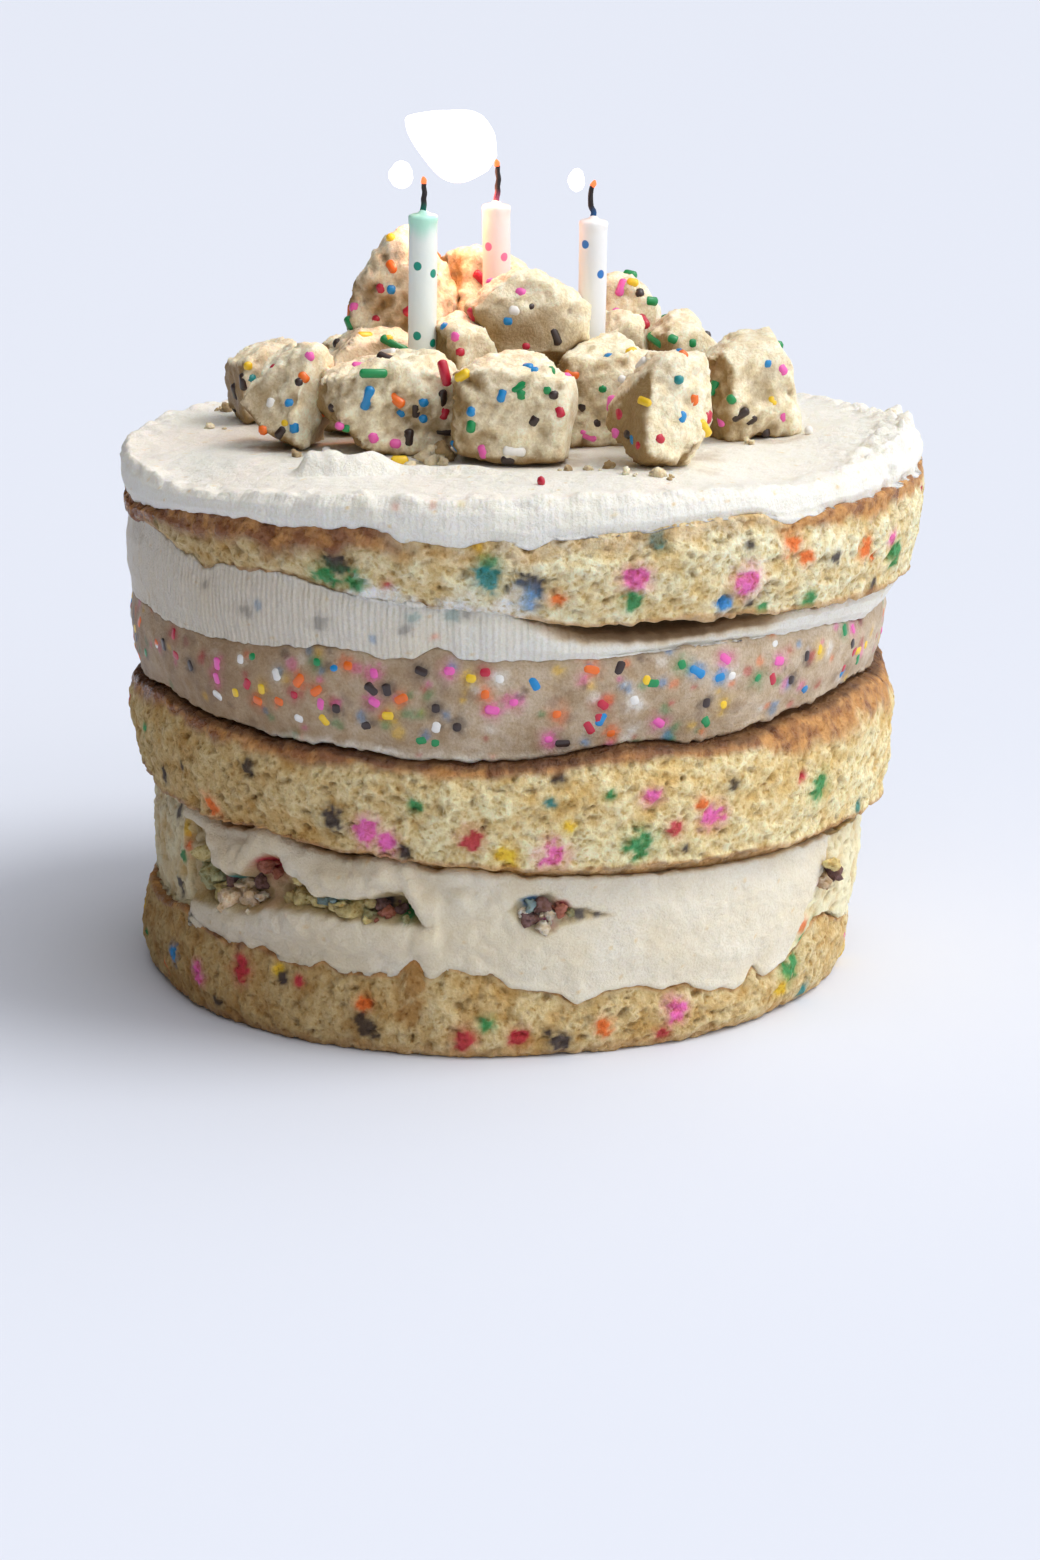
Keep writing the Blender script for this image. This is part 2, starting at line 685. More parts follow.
TOP_STAINS = (
    (-22, 97, 2.6, "black"), (-24, 93.8, 2.2, "green"), (-19, 93.2, 2.0, "green"),
    (-14.5, 93, 1.0, "red"), (-0.5, 99, 1.6, "green"), (-0.8, 95.5, 2.4, "teal"),
    (5, 94, 2.2, "black"), (4.6, 91.2, 2.2, "blue"), (-4, 88.8, 1.6, "teal"),
    (-2, 88.6, 1.0, "black"), (19, 95, 2.0, "pink"), (18.5, 90.6, 1.6, "green"),
    (22, 102, 1.5, "teal"), (-2, 102, 1.6, "yellow"), (35, 92.5, 2.2, "pink"),
    (32, 88.4, 1.6, "blue"), (36, 88, 0.9, "black"), (38, 86.6, 1.0, "green"),
    (46, 86.3, 1.6, "green"), (42, 98.5, 1.8, "orange"), (44.5, 95, 1.2, "orange"),
    (50, 94, 1.3, "black"), (57, 94, 1.7, "orange"), (60, 91.5, 0.9, "orange"),
    (65, 94, 1.2, "pink"), (67, 90.5, 1.9, "green"), (61, 85.5, 1.4, "black"),
    (35, 99.4, 1.0, "black"), (8.5, 91.5, 1.3, "orange"), (-60, 98, 1.1, "green"),
    (-73, 95, 1.0, "black"),
)
MIDDLE_STAINS = (
    (-38, 54.6, 1.5, "brown"), (-24, 46.8, 2.3, "black"), (-18.5, 45, 2.2, "pink"),
    (-15.5, 43, 2.0, "pink"), (-13, 41.6, 1.5, "black"), (-3, 45.3, 1.9, "red"),
    (2, 41.4, 1.8, "yellow"), (8.5, 42, 2.3, "pink"), (10.5, 47.5, 1.2, "yellow"),
    (8, 52.6, 0.9, "teal"), (-11, 51, 1.2, "green"), (21, 43.2, 2.6, "green"),
    (26, 45.8, 1.5, "red"), (28, 41, 0.9, "black"), (32, 46.8, 2.1, "pink"),
    (30, 50, 1.3, "orange"), (16, 53.6, 0.9, "green"), (9, 57.5, 1.4, "black"),
    (22, 52.5, 1.5, "pink"), (48, 51, 1.0, "red"), (52, 47.5, 2.3, "green"),
    (66, 38.5, 1.7, "teal"), (-48, 44, 2.0, "orange"), (-62, 46, 1.3, "black"),
    (-70, 53, 1.0, "green"), (-55, 50, 1.0, "brown"), (35, 53, 1.3, "brown"),
)
BOTTOM_STAINS = (
    (-43, 12.3, 2.2, "red"), (-53, 8, 1.8, "pink"), (-35.5, 14, 1.2, "yellow"),
    (-34.5, 12.5, 1.2, "black"), (-31.5, 12.4, 1.0, "red"), (-20, 10, 1.4, "orange"),
    (-20, 5.4, 2.4, "brown"), (-12, 17.5, 2.2, "caramel"), (-12, 14.6, 2.4, "caramel"),
    (-12.5, 9, 2.4, "caramel"), (-4.5, 4, 2.1, "red"), (-1, 7.5, 1.3, "green"),
    (4, 4.4, 1.6, "red"), (10, 3.2, 2.2, "black"), (17, 5.6, 1.5, "orange"), (29, 7.3, 2.0, "pink"),
    (27, 2.4, 1.4, "red"), (53, 9, 2.4, "green"), (51, 5.5, 1.5, "yellow"), (59, 2, 1.6, "teal"),
    (-62, 9, 1.5, "blue"), (-66, 5, 1.1, "orange"), (-48, 4, 1.3, "brown"),
)


def build_sponge(
    name, rows, stains, crust, seed, smears=(), tone=(1.0, 1.0, 1.0), seam_shade=0.0, **shape
):
    """A layer of sponge. crust gives, for the top and the bottom edge, its depth and its strength,
    each one value or one for each azimuth. smears are (start, end, height, depth) arcs of
    buttercream, tone shades its crumb, and seam_shade is how dark the seam above it is."""
    skin = Skin(name, rows, **shape)
    points = skin.flat()
    rings = len(skin.points)
    height = points[:, 2]
    raised, colour = crumb(points, seed)
    low, high = float(skin.low.min()), float(skin.high.max())
    colour = colour * tone * browned(skin.azimuth)
    colour = stained(points, skin.azimuth, height, colour, stains + random_stains(seed, low, high))
    wander = layered(points, 6.0, 3, seed + 60)
    gloss = np.zeros(len(points))
    for away, (depth, strength) in zip((skin.from_high, skin.from_low), crust):
        depth = np.tile(np.broadcast_to(depth, AROUND), rings)
        share = smoothstep(1.15, 0.45, away / (depth * (1 + 0.8 * wander)))
        share = share * np.tile(np.broadcast_to(strength, AROUND), rings)
        dark = 0.35 + 0.5 * arc(skin.azimuth, -85, -16, 12) - 0.25 * arc(skin.azimuth, 30, 90, 12)
        dark = dark + 1.1 * noise(points, 2.2, seed + 61) + 0.5 * noise(points, 0.9, seed + 62)
        patchy = np.clip(dark, 0, 1)
        colour = mixed(colour, mixed(CRUST_GOLD, CRUST, patchy), np.clip(share, 0, 0.95))
        raised = raised * (1 - 0.5 * share) + 0.5 * share * np.abs(noise(points, 2.4, seed + 65))
        gloss = np.maximum(gloss, share * (0.5 + 0.5 * patchy))
    for start, end, level, depth in smears:
        patch = layered(points, 3.5, 3, seed + 63) * 2.2
        share = smoothstep(1.0, -0.6, (height - level) / depth + patch)
        share = arc(skin.azimuth, start, end, 6) * share
        colour = mixed(colour, CREAM, share * 0.9)
        raised = raised * (1 - 0.6 * share) + 0.2 * share
    in_seam = smoothstep(1.3, 0.2, skin.from_high + 0.7 * wander)
    colour = mixed(colour, (0.07, 0.03, 0.015), in_seam * seam_shade)
    broad = layered(points, 13.0, 2, seed + 64) * 0.8
    flush = np.where(skin.inset > 0, 0.4, 1.0)
    skin.lift((raised + broad) * flush)
    return skin.build(SPONGE, colour, gloss)


# ---- Buttercream


def cream_colour(points, seed=0, warm=0.35):
    """Off-white, with cream-coloured clouds and a few yellowish specks."""
    cloud = layered(points, 9.0, 3, seed)
    colour = mixed(CREAM, CREAM_WARM, np.clip(warm + 0.6 * cloud, 0, 1))
    near, which = pores(points, 2.4, seed + 5)
    speck = smoothstep(0.22, 0.10, near) * (which > 0.75)
    return mixed(colour, CREAM_WARM * (0.95, 0.82, 0.60), speck * 0.8)


def comb_lines(skin, size):
    """Upright streaks round a layer's side, of a width in millimetres."""
    height = skin.flat()[:, 2]
    return noise(np.stack((around(skin.azimuth), height / 9, height * 0), axis=-1), size, 113)


UPPER_SMUDGES = (
    (-47, 88, 0.8, "brown"), (-38, 85, 1.3, "black"), (-36, 86.5, 0.9, "blue"),
    (-25, 84.5, 1.4, "black"), (-12, 85.5, 1.2, "black"), (-11, 87.5, 1.0, "teal"),
    (-5.5, 88.2, 1.2, "teal"), (-3.5, 88.4, 0.9, "black"), (-8, 84, 0.7, "orange"),
    (-17, 82.6, 0.7, "blue"),
)


def build_filling_upper():
    """The upper cream, combed by its liner: full at the left and sunk at the right of the front."""
    full = np.maximum(arc(azimuths, -85, 4, 8), round_back)
    above = 0.4 + full * (0.4 + 0.8 * layered(rim_line, 3.0, 4, 101))
    sunk = arc(azimuths, 7, 42, 10)
    above = above - 0.5 * sunk
    skin = Skin("filling_upper", 34, below=0.45, above=above, foot=0.4, shoulder=0.4 + 3.0 * sunk)
    drape(skin)
    points = skin.flat()
    height = points[:, 2]
    combed = comb_lines(skin, 1.4) * arc(skin.azimuth, -80, 8, 10) * 0.22
    colour = cream_colour(points, 110, 0.05)
    colour = stained(points, skin.azimuth, height, colour, UPPER_SMUDGES, 0.45)
    rings = len(skin.points)
    deep = smoothstep(2.4, 0.6, skin.from_high + 0.5 * noise(points, 2.0, 112))
    deep = np.tile(sunk, rings) * deep
    colour = mixed(colour, CREAM_WARM * (0.82, 0.70, 0.55), deep * 0.8)
    gap = np.tile(arc(azimuths, 12, 40, 8), rings) * smoothstep(1.5, 0.5, skin.from_high)
    colour = mixed(colour, (0.22, 0.13, 0.07), gap * 0.75)
    colour = colour * browned(skin.azimuth, 0.6)
    skin.lift(0.3 * layered(points, 6.0, 3, 111) + 0.12 * noise(points, 1.6, 114) + combed)
    return skin.build(BUTTERCREAM, colour, arc(skin.azimuth, -90, 12, 16))


CAVITY_FLOOR = (
    # Azimuth and height along the foot of the long hollow in the lower filling.
    (-59, 20.5), (-56, 22.0), (-52, 22.5), (-46, 23.0), (-41, 23.8), (-36, 25.6), (-30, 26.4),
    (-23, 26.2), (-16, 26.3), (-10, 26.6), (-8, 26.8),
)
CAVITY_ROOF = (
    # Azimuth and height along its top, where the cream hangs in lobes.
    (-59, 38.0), (-52, 38.0), (-49.5, 32.5), (-46, 30.6), (-42.5, 31.4), (-40.5, 34.5), (-38, 36.5),
    (-35.5, 36.8), (-33, 34.0), (-28, 31.0), (-22, 30.8), (-17.5, 32.5), (-13.5, 33.2), (-12, 31.0),
    (-10.5, 27.6), (-8, 26.8),
)
PATCH_FLOOR = (
    # The same for the torn patch at the front.
    (2, 30.5), (3.5, 28.4), (6, 25.6), (8, 24.8), (10, 26.6), (13, 27.8), (17.5, 28.3), (18.5, 28.4),
)
PATCH_ROOF = (
    (2, 30.5), (3.5, 32.4), (6, 33.4), (9, 33.0), (11.5, 31.2), (14, 30.0), (17.5, 28.7), (18.5, 28.4),
)


FAR_OUT = -9.0  # for points beyond the ends of a gap


def between_lines(azimuth, height, floor, roof, wander):
    """How far a point is inside the gap between two lines round the cake, in millimetres."""
    floor_azimuths, floor_heights = zip(*floor)
    roof_azimuths, roof_heights = zip(*roof)
    turn = angle_between(azimuth, 0)
    up = height - np.interp(turn, floor_azimuths, floor_heights) - 0.8 * wander
    down = np.interp(turn, roof_azimuths, roof_heights) - height
    ends = (turn > floor_azimuths[0]) & (turn < floor_azimuths[-1])
    return np.where(ends, np.minimum(up, down + wander), FAR_OUT)


LOWER_STAINS = (
    (59, 29.5, 2.2, "brown"), (66, 24, 1.6, "brown"), (57, 26, 1.4, "pink"),
    (56, 17, 1.4, "orange"), (57, 12, 2.4, "green"), (60, 15, 1.6, "green"),
    (-62, 29, 1.2, "green"), (-64, 22, 1.6, "black"), (-61, 35, 1.6, "yellow"),
    (-60, 32, 1.4, "orange"), (-66, 37, 1.4, "brown"),
)
HOLLOW_STAINS = (
    (-39, 33.0, 2.0, "red"), (-37.5, 34.6, 1.4, "red"), (-50, 34, 2.0, "green"),
    (-46, 29.5, 1.6, "teal"), (-24, 30.2, 1.8, "teal"), (-17, 29.6, 1.6, "black"),
    (-13, 28.8, 1.4, "green"), (5.8, 31.6, 1.4, "blue"), (7.6, 31.4, 1.3, "black"),
    (10.4, 30.6, 1.3, "red"), (12.8, 29.4, 1.2, "black"), (15.6, 28.7, 0.8, "black"),
    (5.6, 28.0, 1.4, "brown"), (8, 27.4, 1.2, "pink"),
)


def build_filling_lower():
    """The thick lower cream: a fat band with a long hollow over it, where torn crumb shows."""
    skin = Skin("filling_lower", 62, below=0.45, above=0.35, foot=0.7, shoulder=0.4)
    drape(skin, reach=0.9)
    points = skin.flat()
    azimuth, height = skin.azimuth, points[:, 2]
    ragged = layered(points, 2.6, 3, 123)
    cavity = between_lines(azimuth, height, CAVITY_FLOOR, CAVITY_ROOF, 0.9 * ragged)
    patch = between_lines(azimuth, height, PATCH_FLOOR, PATCH_ROOF, 0.9 * ragged) + 0.5 * ragged
    hollow = np.maximum(smoothstep(0.0, 0.7, cavity), 0.9 * smoothstep(-0.5, 0.5, patch))
    depth = 4.6 * smoothstep(-0.1, 2.4, cavity) + 1.2 * smoothstep(-0.2, 1.5, patch)
    depth = depth * (0.15 + 0.85 * smoothstep(-58, -49, azimuth))
    right_end = 50.5 + (height - 10) * 0.48
    bent = azimuth + 9 * layered(points, 7.0, 4, 128)
    bare = smoothstep(-0.7, 0.7, azimuth - right_end + 1.8 * ragged) * arc(bent, 40, 98, 2)
    bare_left = smoothstep(-0.7, 0.7, -57.5 + 3 * ragged - azimuth) * arc(bent, -102, -40, 2)
    bare = np.maximum(bare, bare_left)
    raised, crumbs = crumb(points, 130)
    crumbs = stained(points, azimuth, height, crumbs, LOWER_STAINS)
    inside = mixed(crumbs, PORE, np.clip(0.35 + 0.1 * depth, 0, 0.8))
    deep_cream = arc(azimuth, -42, -34, 3) * smoothstep(-0.2, 0.4, ragged + 0.3)
    inside = mixed(inside, CREAM_WARM * (0.86, 0.70, 0.56), deep_cream)
    inside = stained(points, azimuth, height, inside, HOLLOW_STAINS)
    colour = cream_colour(points, 124, 0.8)
    colour = mixed(mixed(colour, crumbs, bare), inside, hollow) * browned(azimuth, 0.5)
    fat = arc(azimuth, -60, -6, 8) * smoothstep(5.0, 0.5, np.abs(cavity + 2.6)) * 1.9
    lobes = arc(azimuth, -60, 4, 12) * np.abs(layered(points, 5.0, 2, 127)) * 1.5
    smooth = 0.35 * layered(points, 6.0, 3, 125) + 0.2 * noise(points, 1.8, 126)
    skin.lift((smooth + fat + lobes) * (1 - bare) + (raised - 0.6) * bare + raised * hollow - depth)
    return skin.build(BUTTERCREAM, colour)


TOP_RINGS = 62
TOP_STEP = 8  # points of a ring between readings of the CAD topping
COVERED_TO = 112.0  # only chunks whose foot is below this height lie on the topping
TOP_REACH = 70.0  # how far in from the rim the innermost ring is
RIDGE_START, RIDGE_END = np.array((-36.0, -45.5)), np.array((6.0, -49.0))
RIM_MARKS = (
    (-13, 108.4, 0.7, "orange"), (-8, 108.8, 0.6, "orange"), (-4, 109.2, 0.6, "yellow"),
    (16, 107, 0.6, "yellow"),
)


def ridge(points):
    """A fold that the knife left on the topping, fattest at its left end."""
    run = RIDGE_END - RIDGE_START
    length = np.linalg.norm(run)
    along = (points[:, :2] - RIDGE_START) @ run / length**2
    across = (points[:, :2] - RIDGE_START) @ np.array((-run[1], run[0])) / length
    across = across + 1.3 * np.sin(along * 8) + 0.5 * noise(points, 5.0, 152)
    fat = 3.4 - 1.6 * np.clip(along, 0, 1)
    profile = np.clip(1 - (across / fat) ** 2, 0, 1) ** 0.6
    ends = smoothstep(-0.05, 0.03, along) * smoothstep(1.1, 0.6, along)
    tall = 1.4 + 2.6 * smoothstep(0.46, 0.26, along)
    return profile * ends * tall * (1 + 0.3 * noise(points, 3.0, 151))


def build_topping():
    """The topping, whose whole top shows: swept with a knife, torn at its rim, rough at the right."""
    spread = np.linspace(0, 1, TOP_RINGS) ** 1.35
    insets = tuple(0.4 + TOP_REACH * spread[::-1])
    skin = Skin("topping", 20, below=0.45, foot=0.4, shoulder=0.7, top_insets=insets)
    solid = solids["topping"]
    tree = tree_of(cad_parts["topping"].data)
    drape(skin)
    roof = float(solid.tops.max()) + 5
    read = np.arange(0, AROUND, TOP_STEP)
    for ring in range(skin.side.stop, len(skin.points)):
        starts = [(*skin.points[ring, i, :2], roof) for i in read]
        found = [roof - hit(tree, start, (0, 0, -1), 6.0) for start in starts]
        heights = np.interp(np.arange(AROUND), read, found, period=AROUND)
        fade = smoothstep(3.0, 1.0, skin.inset.reshape(len(skin.points), -1)[ring, 0])
        skin.points[ring, :, 2] = heights * (1 - fade) + skin.points[ring, :, 2] * fade
    points = skin.flat()
    on_top = np.where(skin.inset > 0, 1.0, smoothstep(0.8, 1.0, skin.share))
    near_rim = smoothstep(10, 1, skin.inset)
    rough = near_rim * arc(skin.azimuth, 62, 112, 16)
    swept = points @ np.array(Matrix.Rotation(math.radians(12), 3, "Z")).T
    streaks = layered(swept, (30.0, 3.2, 20.0), 3, 143)
    clouds = layered(points, 16.0, 3, 144)
    torn = layered(points, 3.0, 3, 145)
    lip = 0.3 + noise(points, 3.6, 146) + 0.6 * noise(points, 1.7, 147)
    lip = smoothstep(7, 1.5, skin.inset) * lip
    up = 0.16 * streaks + 0.6 * clouds + 0.6 * lip + 0.12 * torn
    up = up + rough * (3.4 * np.abs(torn) - 0.3) + ridge(points)
    ragged = np.where(skin.inset > 0, 1.0, smoothstep(0.3, 1.0, skin.share))
    ragged = smoothstep(2.5, 0.3, skin.inset) * ragged
    out = ragged * 0.9 * torn + rough * 1.4 * layered(points, 2.6, 2, 148)
    out = out + 0.12 * layered(points, 4.0, 3, 149)
    out = out + np.where(skin.inset > 0, 0.0, 0.08 * comb_lines(skin, 1.1))
    skin.points += polar(azimuths, 1.0, 0.0) * skin.grid(out)[..., None]
    skin.points[..., 2] += skin.grid(up * on_top)
    colour = cream_colour(points, 150, -0.15) * 1.05
    rim = np.flatnonzero(skin.inset < 1.5)
    near = points[rim]
    colour[rim] = stained(near, skin.azimuth[rim], near[:, 2], colour[rim], RIM_MARKS, 0.3)
    smeared = heap_smear(points) * smoothstep(-0.1, 0.5, layered(points, 5.0, 3, 153)) * on_top
    colour = mixed(colour, CHUNK * (0.98, 0.86, 0.80), smeared * 0.38)
    comb_marks = np.where(skin.inset > 0, 0.0, 0.3) * arc(skin.azimuth, -40, 40, 20)
    return skin.build(BUTTERCREAM, colour, comb_marks)


def heap_smear(points):
    """1 on the topping under and just round the dough chunks, where they have rubbed off on it."""
    share = np.zeros(len(points))
    for name in CHUNKS:
        low, high = (np.array(corner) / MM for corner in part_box(name))
        if low[2] > COVERED_TO:
            continue
        middle, half = (low + high)[:2] / 2, (high - low)[:2] / 2
        away = np.linalg.norm(np.maximum(np.abs(points[:, :2] - middle) - half * 0.8, 0), axis=-1)
        share = np.maximum(share, smoothstep(5.0, 1.0, away))
    return share


# ---- The dough layer


DOUGH_DOTS = (
    # Azimuth, height, colour, length, roll.
    (-17, 76, "pink", 2.2, 10), (-17, 70.5, "pink", 2.4, 60), (-6, 77.3, "pink", 2.0, 90),
    (0, 70, "pink", 2.8, 80), (34, 77, "pink", 2.8, 50), (-21, 77, "orange", 2.0, 90),
    (-13, 71.5, "orange", 3.0, 120), (-1, 73, "orange", 1.9, 0), (14, 77.3, "orange", 3.4, 70),
    (9, 69, "orange", 1.8, 0), (-36, 70, "yellow", 2.2, 0), (-3, 76, "yellow", 2.0, 80),
    (-15, 68, "yellow", 2.4, 90), (34, 68, "yellow", 1.8, 0), (-1, 77.2, "red", 2.0, 90),
    (15.5, 70.5, "red", 2.4, 50), (1, 76, "white", 1.8, 0), (20, 71, "white", 2.2, 20),
    (35, 73.5, "white", 1.7, 0), (-26, 77, "green", 1.8, 0), (27, 77, "green", 2.0, 20),
    (29.3, 75.4, "blue", 3.4, 60), (33, 73.6, "blue", 2.4, 100), (-10, 77, "brown", 2.8, 70),
    (-15, 73, "brown", 2.6, 10), (-8, 70, "brown", 2.0, 0), (31, 69, "brown", 2.2, 0),
    (10, 63, "brown", 3.0, 90), (-29, 73, "orange", 3.0, 140), (-26, 71.5, "orange", 3.2, 120),
    (-30, 70, "red", 1.7, 0), (-23, 68.5, "brown", 2.0, 0), (-45, 73, "pink", 2.6, 0),
    (-45.5, 70, "pink", 2.4, 10), (-37, 67.5, "orange", 2.6, 80), (-52, 71, "brown", 2.4, 30),
    (-57, 76, "red", 2.4, 0), (-60, 73, "brown", 2.6, 0), (-40, 75, "white", 1.9, 0),
    (-33, 73.5, "white", 2.4, 20), (44, 74.5, "pink", 3.0, 80), (50, 74, "brown", 2.2, 0),
    (53, 74.5, "yellow", 2.0, 0), (47, 70, "brown", 2.0, 0), (60, 76.5, "green", 2.6, 10),
    (63, 76, "pink", 2.4, 20), (40, 72, "green", 1.8, 60), (24, 66, "pink", 3.0, 50),
    (3, 71.5, "pink", 1.6, 0), (17, 64.5, "orange", 1.8, 0), (-5, 66.5, "brown", 1.8, 0),
    (8, 64, "pink", 1.6, 0),
)


FAINT_DOTS = 420


def faint_dots():
    """Small sprinkles that show through the dough layer's side, all round, as stains."""
    rng = np.random.default_rng(15)
    dots = []
    for _ in range(FAINT_DOTS):
        name = picked(rng)
        dots.append((rng.uniform(-180, 180), rng.uniform(60, 82), rng.uniform(0.45, 1.1), name))
    return dots


def build_dough_layer():
    """The layer of cookie dough, cut smooth, with sprinkles showing through its side."""
    teeth = np.abs(layered(rim_line, 3.0, 3, 161)) * (0.8 + 1.0 * arc(azimuths, 25, 80, 20))
    skin = Skin("dough_layer", 42, below=0.3 + teeth, above=0.0, foot=0.5, shoulder=0.5)
    points = skin.flat()
    height = points[:, 2]
    ragged = 0.9 * layered(points, 3.0, 2, 163)
    smear = smoothstep(1.8, 0.3, skin.from_low + ragged) * arc(skin.azimuth, -34, 6, 20)
    smudges = tuple((azimuth, level, 1.5, colour) for azimuth, level, colour, _, _ in DOUGH_DOTS)
    colour = mixed(DOUGH, DOUGH_PALE, np.clip(0.45 + 0.9 * layered(points, 8.0, 3, 164), 0, 1))
    colour = stained(points, skin.azimuth, height, colour, smudges, 0.55)
    colour = stained(points, skin.azimuth, height, colour, faint_dots(), 0.5)
    dusky = smoothstep(0.25, 0.6, layered(points, 3.4, 3, 167))
    colour = mixed(colour, DOUGH * (0.62, 0.56, 0.60), dusky * 0.5)
    colour = mixed(colour * browned(skin.azimuth), CREAM, smear * 0.6)
    skin.lift(0.25 * layered(points, 9.0, 3, 165) + 0.14 * noise(points, 1.8, 166) + 0.2 * smear)
    return skin.build(COOKIE_DOUGH, colour, np.full(len(points), 0.5))


# ---- Dough chunks


CHUNKS = sorted(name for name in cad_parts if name.startswith("dough_chunk"))
VOXEL = 0.66
CUTS = {
    # The facets that cut a chunk's corners off: across, back and up its box, and how far out.
    "01": ((-0.65, -0.1, 1.3, 1.1), (-1.0, -0.2, -0.8, 1.35), (0.6, -0.6, 0.8, 1.2)),
    "02": (
        (-1.08, -0.2, 1.48, 1.05), (-0.92, -0.1, -1.0, 1.05), (1.2, -0.4, -0.6, 1.25),
        (0.8, -0.9, 0.1, 0.95),
    ),
    "03": (
        (-0.59, -0.1, 1.17, 1.12), (-1.0, -0.15, -0.84, 1.1), (0.5, -0.4, 0.9, 1.25),
        (-0.9, -0.8, 0.2, 1.3),
    ),
    "04": (
        (-0.46, 0.0, 0.79, 0.92), (0.49, 0.0, 0.69, 0.84), (1.27, 0.0, -0.17, 1.22),
        (-0.9, -0.9, 0.0, 1.35),
    ),
    "05": (
        (-0.72, 0.0, 0.6, 0.68), (0.36, 0.0, 0.21, 0.48), (1.04, 0.0, -0.72, 1.02),
        (-0.67, 0.0, -0.66, 0.92), (0.7, -0.9, 0.1, 1.15), (-0.9, -0.7, 0.1, 1.1),
    ),
    "06": ((0.3, 0.0, 1.0, 1.05), (0.9, -0.9, 0.2, 1.3)),
    "07": (
        (0.63, 0.0, 0.47, 0.7), (1.05, 0.0, 0.23, 0.94), (-0.62, 0.0, 0.87, 0.92),
        (0.1, -0.8, 0.7, 1.05), (-0.9, -0.6, -0.3, 1.15),
    ),
    "08": ((-0.9, -0.1, 0.8, 0.95), (-0.8, -0.8, 0.0, 1.2)),
    "09": ((0.2, -0.3, 1.0, 1.0), (0.8, 0.0, 0.7, 1.1)),
    "11": (
        (-0.79, 0.0, 0.86, 1.02), (0.67, 0.0, 0.91, 0.98), (-0.36, 0.0, -0.43, 0.66),
        (0.0, -0.9, 0.7, 1.2), (0.2, -0.9, -0.9, 1.35),
    ),
    "12": ((0.6, -0.5, 0.8, 1.0),),
    "13": ((-1.1, 0.0, 0.95, 1.06), (0.9, 0.0, 0.9, 1.02), (-0.4, -0.9, 0.5, 1.1)),
    "15": ((0.7, 0.0, 0.9, 1.15), (-0.7, 0.0, 0.9, 1.2)),
    "16": ((0.7, -0.2, 0.9, 1.1), (-0.6, -0.5, 0.7, 1.2)),
    "17": ((0.8, 0.0, 0.8, 0.96), (-0.7, -0.2, 0.9, 1.2), (0.9, -0.9, -0.1, 1.3)),
    "18": ((0.8, 0.0, 0.9, 1.0), (-0.7, -0.2, 0.9, 1.15)),
    "19": ((0.8, -0.2, 0.8, 1.05), (-0.5, -0.6, 0.8, 1.1)),
}
RANDOM_CUTS = 4  # more of them on each chunk's back


def cut_facets(points, normals, planes):
    """Flattens what of a chunk lies past planes set in its own box, and turns its normals to them."""
    low, high = points.min(axis=0), points.max(axis=0)
    middle, half = (low + high) / 2, (high - low) / 2
    for across, back, up, out in planes:
        turned = np.array((across, back, up)) / half
        beyond = (points - middle) @ turned - out
        size = np.linalg.norm(turned)
        past = beyond > 0
        points = points - np.where(past, beyond, 0)[:, None] * turned / size**2
        normals = np.where(past[:, None], turned / size, normals)
    return points, normals


def worn_lump(name):
    """A CAD lump as an even mesh with worn corners: its points, normals and faces."""
    piece = add_object(name + "_worn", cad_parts[name].data.copy())
    remesh = piece.modifiers.new("remesh", "REMESH")
    remesh.mode = "VOXEL"
    remesh.voxel_size = VOXEL * MM
    worn = piece.modifiers.new("worn", "SMOOTH")
    worn.factor = 0.5
    worn.iterations = 3
    worn_piece = piece.evaluated_get(bpy.context.evaluated_depsgraph_get())
    ready = bpy.data.meshes.new_from_object(worn_piece)
    bpy.data.objects.remove(piece)
    points, normals = (np.empty(len(ready.vertices) * 3, np.float32) for _ in range(2))
    ready.vertices.foreach_get("co", points)
    ready.vertices.foreach_get("normal", normals)
    points = points.reshape(-1, 3).astype(float) / MM
    normals = normals.reshape(-1, 3).astype(float)
    return points, normals, [tuple(polygon.vertices) for polygon in ready.polygons]


